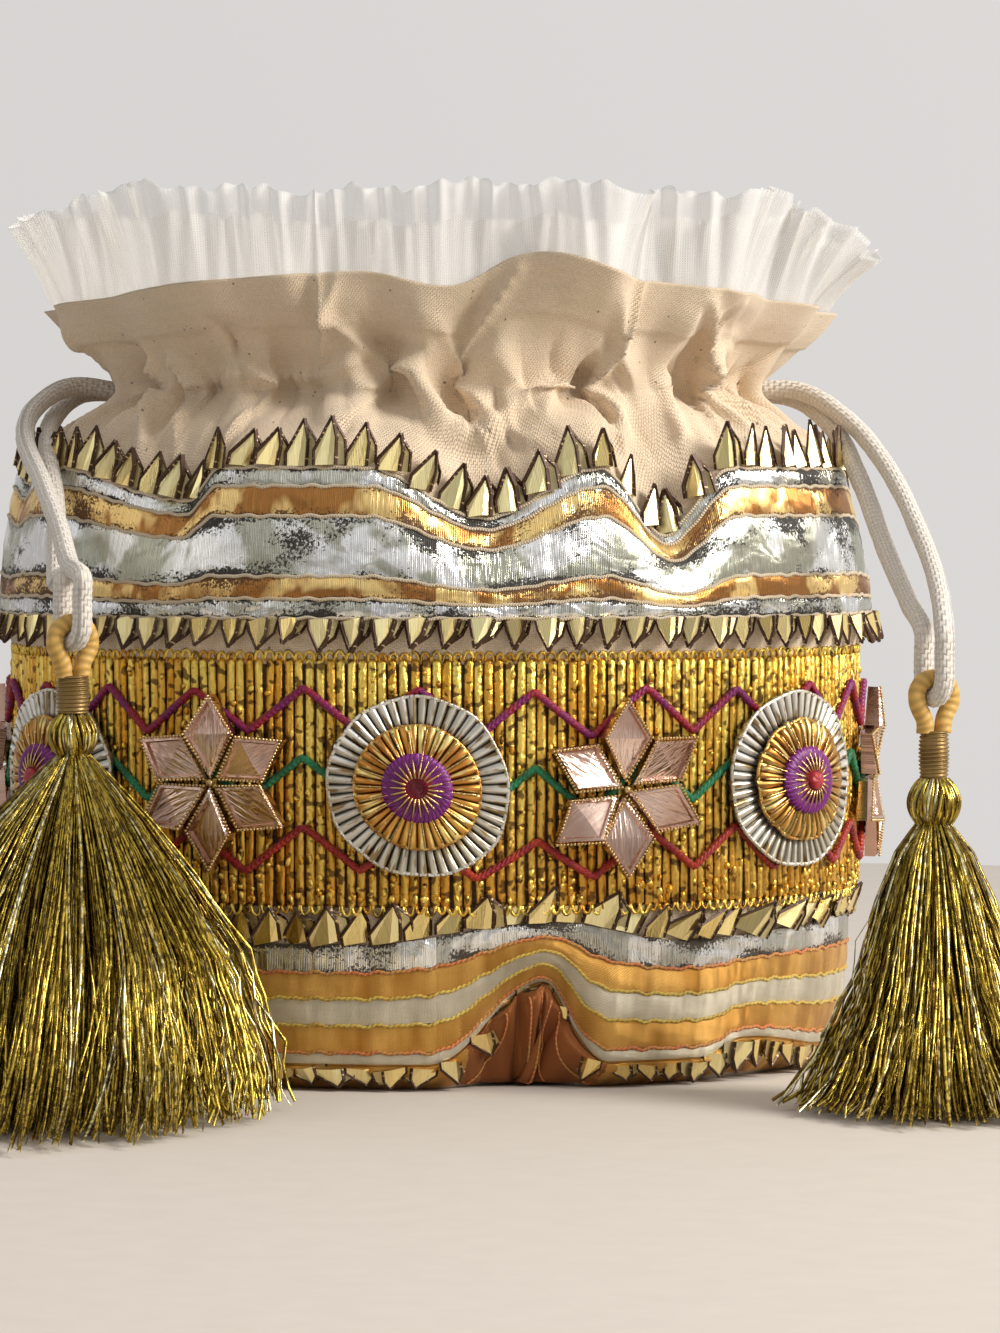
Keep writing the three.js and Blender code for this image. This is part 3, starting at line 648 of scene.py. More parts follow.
def feed(inputs, colour, roughness=None, metallic=None):
    """Feeds the colour of a finish, and its roughness and metal where they change from place to place."""
    for label, value in (("Base Color", colour), ("Roughness", roughness), ("Metallic", metallic)):
        if value is not None:
            connect(value, inputs[label])


def bump(inputs, height, distance, strength=1.0):
    made = node(height.tree, "ShaderNodeBump", {"Height": height, "Distance": distance, "Strength": strength})
    connect(made.outputs[0], inputs["Normal"])


def plain_colour(tree, colour):
    made = tree.nodes.new("ShaderNodeRGB")
    made.outputs[0].default_value = (*colour, 1.0)
    return Signal(made.outputs[0])


# %% Finishes of cloth, cord and thread


def cotton_finish():
    made, inputs, place = finish("unbleached_cotton", roughness=0.92, sheen=0.25)
    weave = use_group(WEAVE, place, Threads_per_metre=2300.0, Unevenness=0.1)
    drift = use_group(DRIFT, place, Scale=45.0, Amount=0.12)
    flecks = use_group(FLECKS, place, Flecks_per_metre=300.0, Size=0.1)["Mask"]
    warm = blend_colours(noise(place, 22.0, 2.0), (0.77, 0.595, 0.405), (0.86, 0.705, 0.52))
    grain = noise(place, 1300.0, 2.0)
    # Painted shade: the two layers of the hem, above LIP - 12, are a little darker. The grain is the cloth's
    # own.
    hem = calc("GREATER_THAN", split(place)[1], (LIP - 12) * MM)
    grain_and_hem_shade = 0.86 + grain * 0.3 - hem * 0.06
    cloth = shaded(warm, weave["Shade"], drift["Shade"], grain_and_hem_shade)
    feed(inputs, blend_colours(flecks * 0.75, cloth, (0.1, 0.06, 0.035)))
    bump(inputs, weave["Height"] + grain * 1.6, 0.00016, 0.9)
    return made


def thread_finish(name, colours, roughness=0.55, turns=700.0, round_it=0.006, sheen=0.05, metallic=0.0):
    made, inputs, place = finish(name, metallic=metallic, roughness=roughness, sheen=sheen)
    spun = use_group(SPUN, place, Turns_per_metre=turns, Round=round_it)
    change = step_between(noise(stretch(place, (1, 0.1, 1)), 95.0, 2.0), 0.44, 0.56)
    colour = blend_colours(change, *colours)
    feed(inputs, shaded(colour, spun["Shade"]))
    bump(inputs, spun["Height"], 0.00008)
    return made


def cord_finish():
    made, inputs, place = finish("cotton_cord", roughness=0.95, sheen=0.35)
    plait = use_group(WEAVE, stretch(place, (0.5, 0.8, 1)), Threads_per_metre=1300.0)
    flecks = use_group(FLECKS, place, Flecks_per_metre=330.0, Size=0.13)["Mask"]
    white = shaded(plain_colour(place.tree, (0.72, 0.665, 0.59)), plait["Shade"])
    feed(inputs, blend_colours(flecks * 0.45, white, (0.25, 0.19, 0.13)))
    bump(inputs, plait["Height"], 0.0003, 0.8)
    return made


def net_finish():
    """Net is threads with holes between them, so its alpha is the pattern of its threads."""
    made, inputs, place = finish("white_net", roughness=0.9, sheen=0.2)
    x, y, _ = split(place)
    lines = []
    for slope in (0.0, 1.2, -1.2):
        run = x + y * slope
        lines.append(calc("ABSOLUTE", calc("SINE", run * (math.pi * 1500))))
    thread = calc("MINIMUM", calc("MINIMUM", lines[0], lines[1]), lines[2])
    strand = step_between(thread, 0.42, 0.12)
    drift = noise(stretch(place, (1, 0.12, 1)), 420.0, 3.0)
    cover = strand * 0.36 + drift * 0.34
    connect(cover, inputs["Alpha"])
    inputs["Base Color"].default_value = (0.93, 0.91, 0.87, 1)
    bump(inputs, strand, 0.0001, 0.5)
    return made


def satin_finish(name, colour, painted_sheen, roughness=0.38, metallic=0.5):
    made, inputs, place = finish(name, metallic=metallic, roughness=roughness, sheen=0.05)
    weave = use_group(WEAVE, place, Threads_per_metre=3200.0, Unevenness=0.12)
    folds = noise(stretch(place, (1, 0.25, 1)), 120.0, 2.0)
    # Painted highlight: the fold noise raises the bump and also blends in the lighter colour, a painted sheen
    # on the crests of the folds.
    colours = blend_colours(step_between(folds, 0.35, 0.7), colour, painted_sheen)
    feed(inputs, shaded(colours, weave["Shade"]))
    height = folds * 3.0 + weave["Height"] * 0.12
    bump(inputs, height, 0.0007, 0.8)
    return made


def attribute(tree, name):
    return Signal(node(tree, "ShaderNodeAttribute", attribute_name=name).outputs["Fac"])


def foil_finish(name, bright, dull, worn_colour, wear, roughness=0.2, crumple=1.0):
    made, inputs, place = finish(name, metallic=1.0, roughness=roughness)
    edge = attribute(place.tree, "edge")
    foil = use_group(WORN_FOIL, place, Wear=wear, Crumple=crumple, Edge=edge)
    patches = noise(stretch(place, (1, 0.7, 1)), 60.0, 3.0, 0.6, 0.6)
    colour = blend_colours(step_between(patches, 0.45, 0.53), bright, dull)
    warp = noise(stretch(place, (1, 0.05, 1)), 2200.0, 2.0)
    colour = shaded(colour, 0.68 + warp * 0.62)
    rough = foil["Worn"] * 0.35 + foil["Cloud"] * 0.22 + (roughness - 0.1)
    feed(inputs, blend_colours(foil["Worn"], colour, worn_colour), rough, 1.0 - foil["Worn"] * 0.6)
    bump(inputs, foil["Height"], 0.0016, 0.85)
    return made


COTTON = cotton_finish()
CORD = cord_finish()
NET = net_finish()
CREAM_EDGE = thread_finish("cream_edge", ((0.66, 0.53, 0.36), (0.72, 0.6, 0.43)),
                           turns=1400.0, round_it=0.003)
MAGENTA = thread_finish("magenta_thread", ((0.21, 0.003, 0.11), (0.34, 0.004, 0.025)), roughness=0.4)
GREEN = thread_finish("green_thread", ((0.003, 0.13, 0.045), (0.01, 0.26, 0.1)), roughness=0.4)
RED = thread_finish("red_thread", ((0.28, 0.004, 0.01), (0.46, 0.025, 0.006)), roughness=0.4)
ORANGE_STITCH = thread_finish("orange_stitch", ((0.62, 0.19, 0.05), (0.55, 0.26, 0.06)), roughness=0.5)
YELLOW_STITCH = thread_finish("yellow_stitch", ((0.66, 0.47, 0.08), (0.58, 0.38, 0.06)), roughness=0.45)
MUSTARD = thread_finish("mustard_cord", ((0.63, 0.37, 0.08), (0.7, 0.43, 0.11)),
                        roughness=0.5, turns=500.0, round_it=0.014)
SILVER_FOIL = foil_finish("silver_foil", (0.96, 0.96, 0.93), (0.50, 0.50, 0.40), (0.045, 0.04, 0.035),
                          wear=0.85, roughness=0.24, crumple=0.6)
GOLD_FOIL = foil_finish("gold_foil", (1.0, 0.70, 0.28), (0.42, 0.19, 0.055), (0.13, 0.06, 0.02),
                        wear=0.95, roughness=0.26, crumple=0.6)
SATIN_GOLD = satin_finish("gold_satin", (0.46, 0.21, 0.03), (0.86, 0.50, 0.13),
                          roughness=0.36, metallic=0.8)
SATIN_PALE = satin_finish("champagne_satin", (0.52, 0.46, 0.34), (0.78, 0.71, 0.55),
                          roughness=0.4, metallic=0.65)
# The satin of the base again, painted darker and redder as shade for where it hangs inside the notch.
SATIN_IN_SHADE = satin_finish("rust_satin", (0.26, 0.075, 0.015), (0.40, 0.14, 0.03), roughness=0.3)
print("finishes of cloth and foil are made")

# %% Finishes of points, ribs, motifs and tassels


def point_finish():
    """Pale gold facets, each with its own tone. Where fold marks the rolled edges and the leaf behind, they
    are painted dark brown as shade, with small painted glints.
    """
    made, inputs, place = finish("foil_points", metallic=1.0, roughness=0.24)
    tone, fold = attribute(place.tree, "tone"), attribute(place.tree, "fold")
    foil = use_group(WORN_FOIL, place, Wear=0.5, Crumple=0.5)
    pale = blend_colours(tone, (0.88, 0.66, 0.24), (1.0, 0.88, 0.47))
    warp = noise(stretch(place, (1, 0.06, 1)), 2000.0, 2.0)
    pale = shaded(pale, 0.7 + warp * 0.6)
    pale = blend_colours(foil["Worn"], pale, (0.35, 0.22, 0.09))
    # Painted shade and glints: where fold is high, the foil is painted dark brown with small painted glints
    # in it.
    painted_glint = calc("GREATER_THAN", noise(place, 900.0, 2.0), 0.62)
    dark = blend_colours(painted_glint, (0.05, 0.02, 0.008), (0.5, 0.36, 0.2))
    feed(inputs, blend_colours(fold, pale, dark), 0.24 + fold * 0.14 + tone * 0.08, 1.0 - fold * 0.6)
    bump(inputs, foil["Height"], 0.0006, 0.7)
    return made


def rib_finish():
    """Bright gold lace, browner in some strips and towards the bottom."""
    made, inputs, place = finish("gold_ribs", metallic=0.92, roughness=0.3)
    tone = attribute(place.tree, "tone")
    _, y, _ = split(place)
    low = step_between(y, 0.002, -0.026)
    place = moved(place, node(tone.tree, "ShaderNodeCombineXYZ", {0: tone, 1: tone * 3.7, 2: 0.0}).outputs[0])
    fine = noise(stretch(place, (1, 0.5, 1)), 1100.0, 3.0)
    spots = noise(stretch(place, (0.8, 1, 1)), 400.0, 1.0, 0.5)
    gold = blend_colours(step_between(tone, 0.0, 0.7), (0.76, 0.37, 0.035), (1.0, 0.74, 0.16))
    gold = blend_colours(low * 0.55, gold, (0.62, 0.3, 0.05))
    knots = step_between(spots, 0.57, 0.62)
    gold = blend_colours(knots * 0.85, gold, (0.11, 0.05, 0.02))
    feed(inputs, shaded(gold, 0.72 + fine * 0.5), 0.24 + fine * 0.24)
    bump(inputs, fine + spots * -1.4, 0.0005, 0.8)
    return made


# A dark sheet that shows between the ribs as their painted shade.
def panel_shade_finish():
    made, inputs, place = finish("panel_backing", roughness=0.7, sheen=0.1)
    weave = use_group(WEAVE, place, Threads_per_metre=1800.0)
    feed(inputs, shaded(plain_colour(place.tree, (0.075, 0.04, 0.018)), weave["Shade"]))
    bump(inputs, weave["Height"], 0.0002)
    return made


def pleat_finish(name, low, high, accent, metallic=1.0, roughness=0.26, accent_at=0.6):
    """Pleated foil. The map runs round the disc and out from its middle."""
    made, inputs, place = finish(name, metallic=metallic, roughness=roughness)
    foil = use_group(WORN_FOIL, place, Wear=0.45, Crumple=0.6)
    colour = blend_colours(step_between(foil["Cloud"], 0.42, 0.58), low, high)
    threads = noise(stretch(place, (1, 0.12, 1)), 900.0, 2.0)
    colour = blend_colours(step_between(threads, accent_at, accent_at + 0.06), colour, accent)
    # Painted shade: the valleys of the pleats, where crest is low, are made darker.
    colour = shaded(colour, 0.1 + attribute(place.tree, "crest") * 0.95)
    feed(inputs, blend_colours(foil["Worn"] * 0.8, colour, (0.12, 0.06, 0.03)),
         roughness - 0.06 + foil["Cloud"] * 0.2)
    bump(inputs, foil["Height"] + threads * 0.8, 0.0005, 0.7)
    return made


def centre_finish():
    """Wound thread, magenta outside and crimson in the middle."""
    made, inputs, place = finish("thread_centre", roughness=0.42, sheen=0.05)
    out_from_middle = split(place)[1]
    ragged = out_from_middle + noise(place, 700.0, 2.0) * 0.003
    zone = step_between(ragged, 0.0052, 0.0062)
    strands = noise(stretch(place, (1, 0.07, 1)), 1500.0, 2.0)
    colour = blend_colours(zone, (0.36, 0.006, 0.03), (0.22, 0.008, 0.2))
    # Painted shade: the grooves between the wound strands, where crest is low, are made darker.
    crest = 0.3 + attribute(place.tree, "crest") * 0.75
    feed(inputs, shaded(colour, 0.5 + strands, crest))
    bump(inputs, strands, 0.0006, 0.9)
    return made


def tinsel_finish(name, dark, gold, bright, metallic=0.75, roughness=0.3):
    """Tinsel thread: each strand has its own tone, and inner strands get lower tones, which paint them darker
    as shade. Painted glints come where tone and crimp are high, and painted shade darkens strands near their
    top.
    """
    made, inputs, place = finish(name, metallic=metallic, roughness=roughness)
    tone, down = attribute(place.tree, "tone"), attribute(place.tree, "down")
    place = Signal(place.tree.nodes.new("ShaderNodeTexCoord").outputs["Object"])
    crimp = noise(place, 420.0, 2.0, 0.6)
    colour = blend_colours(step_between(tone, 0.0, 0.55), dark, gold)
    # Painted glints: strands turn bright where tone and crimp are high.
    painted_strand_glint = step_between(tone + crimp * 0.5, 1.0, 1.15)
    colour = blend_colours(painted_strand_glint, colour, bright)
    own = moved(stretch(place, (1, 1, 0.22)), tone)
    dashes = step_between(noise(own, 620.0, 1.0, 0.4), 0.5, 0.56)
    colour = blend_colours(dashes * 0.72, colour, (0.085, 0.04, 0.008))
    # Painted shade: strands are darker near their top, under the head.
    feed(inputs, shaded(colour, 0.7 + down * 0.25), roughness - 0.1 + crimp * 0.25)
    bump(inputs, crimp, 0.0004, 0.6)
    return made


def inner_finish(name, colour):
    """A finish for hidden CAD pieces inside the neck, on Object coordinates because they have no map."""
    made, inputs, place = finish(name, roughness=0.95, sheen=0.2, coordinates="Object")
    cloth = noise(stretch(place, (1, 1, 0.4)), 1400.0, 2.0)
    slow = noise(place, 60.0, 2.0)
    shade = 0.6 + (cloth * 0.5 + slow * 0.2)
    feed(inputs, shaded(plain_colour(place.tree, colour), shade))
    bump(inputs, cloth, 0.0002)
    return made


EDGE_SILVER = foil_finish("edge_silver_foil", (0.9, 0.9, 0.89), (0.6, 0.59, 0.5), (0.035, 0.03, 0.025),
                          wear=1.1)
WORN_SILVER = foil_finish("worn_silver_foil", (0.93, 0.92, 0.88), (0.56, 0.55, 0.48), (0.07, 0.055, 0.04),
                          wear=0.95, roughness=0.22, crumple=0.8)
POINT_FOIL, RIB_GOLD, PANEL_SHADE = point_finish(), rib_finish(), panel_shade_finish()
SILVER_PLEATS = pleat_finish("silver_pleats", (0.60, 0.55, 0.44), (0.92, 0.90, 0.84), (0.32, 0.22, 0.10),
                             metallic=0.8, roughness=0.32, accent_at=0.54)
GOLD_PLEATS = pleat_finish("gold_pleats", (0.55, 0.22, 0.04), (0.82, 0.47, 0.11), (1.0, 0.78, 0.3),
                           metallic=0.85, roughness=0.3, accent_at=0.52)
ROSE_FOIL = pleat_finish("rose_gold_foil", (0.60, 0.39, 0.30), (0.84, 0.63, 0.53), (0.9, 0.74, 0.62),
                         metallic=1.0, roughness=0.17, accent_at=0.72)
BEAD_GOLD = pleat_finish("bead_gold", (0.55, 0.36, 0.13), (0.8, 0.6, 0.3), (0.9, 0.75, 0.45),
                         metallic=1.0, roughness=0.25, accent_at=0.6)
CENTRE = centre_finish()
RED_BUTTON = thread_finish("red_button", ((0.40, 0.01, 0.02), (0.5, 0.03, 0.03)), roughness=0.45)
BINDING = thread_finish("bronze_whipping", ((0.30, 0.19, 0.06), (0.46, 0.32, 0.12)),
                        roughness=0.36, turns=900.0, round_it=0.02, sheen=0.05, metallic=0.6)
TINSEL = tinsel_finish("gold_tinsel_thread", (0.16, 0.08, 0.012), (0.92, 0.70, 0.12), (1.0, 0.95, 0.6),
                       metallic=0.92, roughness=0.25)
COTTON_INSIDE = inner_finish("cotton_inside", (0.58, 0.47, 0.33))
CORD_INSIDE = inner_finish("cord_inside", (0.66, 0.6, 0.52))
print(len(bpy.data.materials), "finishes")

# %% [markdown]
# ## Drawstrings
#
# Each side has one cotton drawstring. It comes out of the channel, hangs in front of the bag as two
# strands and turns round the tassel's loop. Its length is fixed, so its path is a smooth curve
# through points that were chosen in the CAD model. A tube follows the path.

# %% Paths of the drawstrings
CORD_RADIUS, LOOP_RADIUS, HOOK_RADIUS = 2.5, 2.2, 5.1
TASSELS = {
    "left": {
        "loop": np.array([-91, -102, 120.5]), "turn": 32, "lean": (-5, -22), "binding": (8.5, 3.8),
        "head": (11, 6.4), "radius": 57, "spill": 34, "strands": 1700,
        "skirt": [(0, 0.06), (0.03, 0.1), (0.16, 0.3), (0.34, 0.53), (0.56, 0.78), (0.84, 0.96), (1, 1)],
        "front": [(-79.9, -3.6, 179.2), (-97.5, -8, 181.4), (-106.5, -20, 175.5), (-108, -36, 167.5),
                  (-101.5, -60, 155), (-95.5, -82, 143), (-92, -96, 134.5)],
        "back": [(-79.9, 3.6, 179.8), (-95.5, 3, 179.7), (-102, -9, 173.5), (-102, -36, 164),
                 (-98.5, -57, 150.5), (-97, -75, 137.5), (-96, -88, 130)],
    },
    "right": {
        "loop": np.array([125, -102, 106.5]), "turn": 25, "lean": (0, -22), "binding": (11, 3.4),
        "head": (12, 6.8), "radius": 38, "spill": 8, "strands": 1000,
        "skirt": [(0, 0.1), (0.02, 0.17), (0.14, 0.27), (0.3, 0.38), (0.58, 0.56), (0.84, 0.8), (1, 1)],
        "front": [(79.9, -3.6, 180.2), (97.5, -7, 180.4), (110, -20, 172), (119, -42, 158.5),
                  (124.5, -66, 143), (127, -92, 129)],
        "back": [(79.9, 3.6, 179.8), (95.5, 2.2, 179), (106, -14, 170.5), (112, -36, 155.5),
                 (116.5, -58, 138.5), (120.5, -84, 124.5)],
    },
}


def smooth_path(points, steps=8):
    """A centripetal Catmull-Rom curve through points, the same kind of curve as in the CAD model."""
    points = np.asarray(points, float)
    ends = [2 * points[0] - points[1], *points, 2 * points[-1] - points[-2]]
    line = []
    for a, b, c, d in zip(ends, ends[1:], ends[2:], ends[3:]):
        steps_taken = [max(np.linalg.norm(q - p), 1e-6) ** 0.5 for p, q in ((a, b), (b, c), (c, d))]
        t0, t1, t2, t3 = 0.0, *np.cumsum(steps_taken)
        for t in np.linspace(t1, t2, steps, endpoint=False):
            ab = (t1 - t) / (t1 - t0) * a + (t - t0) / (t1 - t0) * b
            bc = (t2 - t) / (t2 - t1) * b + (t - t1) / (t2 - t1) * c
            cd = (t3 - t) / (t3 - t2) * c + (t - t2) / (t3 - t2) * d
            abc = (t2 - t) / (t2 - t0) * ab + (t - t0) / (t2 - t0) * bc
            bcd = (t3 - t) / (t3 - t1) * bc + (t - t1) / (t3 - t1) * cd
            line.append((t2 - t) / (t2 - t1) * abc + (t - t1) / (t2 - t1) * bcd)
    return np.array([*line, points[-1]])


def bight_end(tassel, side, extra):
    turn = math.radians(tassel["turn"])
    across = np.array([math.sin(turn), -math.cos(turn), 0]) * side * HOOK_RADIUS
    return tassel["loop"] + across + np.array([0, 0, 6 + extra])


def cord_path(tassel):
    turn = math.radians(tassel["turn"])
    across = np.array([math.sin(turn), -math.cos(turn), 0])
    arc = [
        tassel["loop"] + HOOK_RADIUS * (math.cos(a) * across - math.sin(a) * np.array([0, 0, 1]))
        for a in np.radians(np.arange(0, 181, 30))
    ]
    front = [*tassel["front"], bight_end(tassel, 1, 5), bight_end(tassel, 1, 0)]
    back = [*tassel["back"], bight_end(tassel, -1, 5), bight_end(tassel, -1, 0)]
    return smooth_path([np.asarray(p, float) for p in [*front, *arc, *back[::-1]]])


# %% Drawstrings as plaited cotton tubes
for side, tassel in TASSELS.items():
    path = cord_path(tassel)
    length = float(np.linalg.norm(np.diff(path, axis=0), axis=1).sum())
    nodes = [f"{side}_cord_{part}" for part in ("front_strand", "back_strand", "bight")]
    mesh = cord_mesh(f"{side}_drawstring", path, CORD_RADIUS, 16, lobes=8, lobe_depth=0.035, lobe_pitch=16)
    drawstring = finish_piece(mesh, CORD, stands_for=nodes)
    print(side, "drawstring", round(length, 1), "mm")

# %% [markdown]
# ## Cotton body
#
# The body is plain unbleached cotton. Its neck is drawn in by the cords, so the cloth has to go
# somewhere: it stands in uneven gathers and falls in hooked wrinkles. Random noise would look like
# lumps, so each wrinkle is a ridge with its own place, length and lean.

# %% Wrinkles in the neck
WRINKLE_SEED = 11
random = np.random.default_rng(WRINKLE_SEED)
WRINKLE_COUNT = 150
wrinkles = np.stack([
    random.uniform(0, 360, WRINKLE_COUNT), random.uniform(CHANNEL - 17, LIP - 4, WRINKLE_COUNT),
    random.uniform(1.4, 3.8, WRINKLE_COUNT), random.uniform(5, 16, WRINKLE_COUNT),
    random.uniform(-0.5, 0.5, WRINKLE_COUNT), random.uniform(-2.4, 2.9, WRINKLE_COUNT),
], axis=1)

# Angle, level, width, reach, lean and height of the wrinkles that show best from the front
NAMED_WRINKLES = [
    (22, 182, 3.2, 13, 0.5, 4.2), (31, 190, 2.6, 15, -0.35, 4.6), (27, 171, 3.4, 8, 0.9, 3.0),
    (40, 178, 2.2, 15, 0.1, 3.4), (46, 174, 2.0, 14, 0.0, 3.2), (52, 176, 2.0, 15, -0.1, 3.2),
    (58, 180, 2.2, 16, -0.1, 3.0), (-17, 195, 2.2, 14, 0.25, 4.4), (-10, 178, 3.6, 12, 0.6, 3.2),
    (-30, 184, 2.6, 16, 0.2, 3.4), (-44, 176, 3.2, 13, -0.4, 3.6), (-57, 184, 2.4, 14, 0.1, 3.2),
    (4, 184, 3.0, 16, -0.3, 3.4), (12, 172, 3.0, 9, -0.8, 2.8), (-66, 172, 3.0, 11, 0.3, 3.0),
    (66, 172, 2.4, 12, 0.2, 3.0),
]
wrinkles = np.vstack([wrinkles, NAMED_WRINKLES])

# Width and height of each curved fold, and the angles and levels that it runs through
FOLD_LINES = [
    (2.0, 5.0, [(7.9, 171.9), (12.3, 176.7), (17.6, 179.3), (25, 179.7),
                (30, 178.8), (31, 175.1), (28.7, 170.8)]),
    (2.4, 3.6, [(-4.7, 184.9), (-2.5, 178.4), (0.8, 173.6), (4.8, 172.3), (8, 174)]),
    (2.3, 4.4, [(-12.4, 180), (-8, 184.5), (-3.7, 185), (-1.5, 179.5), (0.5, 174), (5.8, 172)]),
    (1.7, 4.0, [(42, 184), (41, 177), (40, 169.7)]),
    (1.8, 4.2, [(43.2, 203), (50, 192), (53, 182.3), (47, 169.7)]),
    (1.8, 3.6, [(56.5, 182), (57.4, 175), (61.5, 168.4)]),
    (1.8, 4.0, [(-57, 187), (-53.7, 175), (-48.9, 168)]),
    (1.8, 4.0, [(-50.5, 187), (-46.4, 175), (-41.6, 167)]),
    (2.6, 3.2, [(-47.8, 182), (-32.2, 183), (-19, 183), (-13.4, 186)]),
    (1.5, 4.4, [(31.6, 206), (31, 198), (30.5, 187), (28.3, 177)]),
    (1.6, 3.4, [(-17.5, 205), (-17, 197), (-13, 190), (-9, 186)]),
    (1.8, 3.0, [(55, 182), (49, 196), (50, 203)]),
    (2.2, 3.2, [(12, 203), (6, 192), (3, 184), (8, 178)]),
    (1.9, 3.0, [(-33, 186), (-30, 178), (-33, 168)]),
]
MM_PER_DEGREE = 1.6


def fold_height(angle, level):
    """How far the curved folds push the cloth outwards, with a hollow along both their sides."""
    total = np.zeros_like(angle)
    turn = (angle + 180) % 360 - 180
    for width, height, line in FOLD_LINES:
        path = smooth_path([(at * MM_PER_DEGREE, 0, up) for at, up in line], 6)
        near = np.abs(turn * MM_PER_DEGREE - path[:, 0].mean()) < 40
        across = turn[near, None] * MM_PER_DEGREE - path[None, :, 0]
        away = np.sqrt((across**2 + (level[near, None] - path[None, :, 2]) ** 2).min(axis=1))
        crest = np.exp(-((away / width) ** 1.7))
        total[near] += height * (crest - 0.42 * np.exp(-((away / width / 2.5) ** 2)))
    return total


def wrinkle_height(angle, level):
    """How far the wrinkles push the cloth outwards, in millimetres."""
    total = np.zeros_like(angle)
    for at, middle, width, reach, lean, height in wrinkles:
        up = (level - middle) / reach
        near = np.abs(up) < 1
        away = (angle[near] - at - lean * (level[near] - middle) + 180) % 360 - 180
        steep = np.where(away * lean > 0, 0.42, 1.25)
        ridge = np.exp(-np.abs(away / (width * steep)) ** 1.25) * (1 - up[near] ** 2) ** 1.3
        total[near] += height * ridge
    total += fold_height(angle, level)
    sides = 0.35 + 0.65 * np.abs(sine(angle)) ** 0.7
    drawn = np.exp(-(((level - CHANNEL + 1) / 7.5) ** 2)) * np.where(cosine(angle) > 0, sides, 1)
    tuck = np.abs(sine(33 * angle + 40 * sine(5 * angle + 20) + 6 * (level - CHANNEL)))
    total += drawn * (3.4 * tuck**0.6 - 1.9) * (0.75 + 0.25 * sine(7 * angle))
    fade = smoothstep(level, BAND_TOP + 2, BAND_TOP + 12) * (1 - 0.55 * smoothstep(level, LIP - 9, LIP))
    hem_step = 0.7 * smoothstep(level, LIP - 12.4, LIP - 11.6)
    return total * fade + hem_step


def cloth_point(angle, level, offset=0.0):
    """Points of the wrinkled cloth."""
    angle, level = np.broadcast_arrays(angle, np.asarray(level, float))
    place, _, _, out = skin_frame(angle, level)
    return place + out * (offset + wrinkle_height(angle, level))[:, None]


# %% Body as one closed shell
BODY_COLUMNS = 840
CLOTH_THICKNESS = 1.3
body_angles = round_angles(BODY_COLUMNS)
outside_levels = np.concatenate([
    np.linspace(0, HEM, 4), np.linspace(HEM + 4, BAND_TOP - 3, 16), np.linspace(BAND_TOP, LIP, 62),
])
inside_levels = np.concatenate([np.linspace(LIP, BAND_TOP, 14), np.linspace(BAND_TOP - 8, 3, 8)])


def body_rows(levels, offset):
    angle, level = np.meshgrid(body_angles, levels, indexing="ij")
    return cloth_point(angle.ravel(), level.ravel(), offset).reshape(len(body_angles), len(levels), 3)


outside = body_rows(outside_levels, 0.0)
inside = body_rows(inside_levels, -CLOTH_THICKNESS)
inside[:, 0, 2] = outside[:, -1, 2] - 0.2
base_shares = np.array([0, 0.35, 0.7, 0.93])
under = outside[:, :1] * np.array([1, 1, 0]) * base_shares[None, :, None]
above = inside[:, -1:] * np.array([1, 1, 0]) * base_shares[::-1][None, :, None] * 0.99
above[..., 2] = 1.5
shell = np.concatenate([under, outside, inside, above], axis=1)
shell_up = np.concatenate([
    -90 + 90 * base_shares, outside_levels, 2 * LIP - inside_levels, 2 * LIP + 90 * (1 - base_shares[::-1]),
]) * MM


body_mesh = welded(grid_mesh("cotton_body", shell, belly_lengths(BODY_COLUMNS), shell_up))
finish_piece(body_mesh, COTTON, stands_for=["cotton_bag_body"])
for name in ("left_cord_run", "right_cord_run"):
    bpy.data.objects[name].material_slots[0].material = CORD_INSIDE

# %% [markdown]
# ## Bands of ribbon
#
# Each band is a row of foil ribbons sewn side by side. Every ribbon is one thin closed band that
# follows the skin. Between the ribbons a fine cream cord shows, which is each ribbon's woven edge.

# %% Ribbons of the upper band
RIBBON_COLUMNS = 480
CLEARANCE, RIBBON_THICKNESS, RIBBON_CROWN = 0.3, 0.6, 0.2
ribbon_angles = round_angles(RIBBON_COLUMNS)


def ribbon(name, low, high, foil, rows=6, stands_for=()):
    """A ribbon with rounded edges, so that light catches along it."""
    share = np.linspace(0, 1, rows)
    levels = mix(low + 0.25, high - 0.25, share)
    crown = RIBBON_CROWN * np.sin(np.pi * share) ** 0.5
    angle, level = np.meshgrid(ribbon_angles, levels, indexing="ij")
    place, _, _, out = skin_frame(angle.ravel(), level.ravel())
    place, out = (v.reshape(RIBBON_COLUMNS, rows, 3) for v in (place, out))
    puff = 1 + 0.35 * sine(angle * 41 + level * 60) + 0.25 * sine(angle * 67 - level * 35)
    top = place + out * (CLEARANCE + RIBBON_THICKNESS + (crown * puff)[..., None])
    bottom = (place + out * CLEARANCE)[:, ::-1]
    points = np.concatenate([top, bottom], axis=1)
    up = np.concatenate([levels, levels[::-1] + 100]) * MM
    mesh = grid_mesh(name, points, belly_lengths(RIBBON_COLUMNS), up, across=True, sharp=60)
    edge = np.concatenate([np.abs(2 * share - 1) ** 3, np.ones(rows)])
    return finish_piece(marked(mesh, "edge", np.tile(edge, RIBBON_COLUMNS)), foil,
                        stands_for=stands_for)


def edge_cord(name, level, radius, wobble=0.15, lobes=0):
    """A fine cord on the ribbons, along a level of the skin."""
    angles = round_angles(900)
    wave = wobble * (sine(angles * 83) + sine(angles * 131 + 40))
    place, _, _, out = skin_frame(angles, level + wave)
    path = place + out * (CLEARANCE + RIBBON_THICKNESS)
    return cord_mesh(name, path, radius, 6, closed=True, sides_up=out, lobes=lobes, lobe_depth=0.12,
                     lobe_pitch=3)


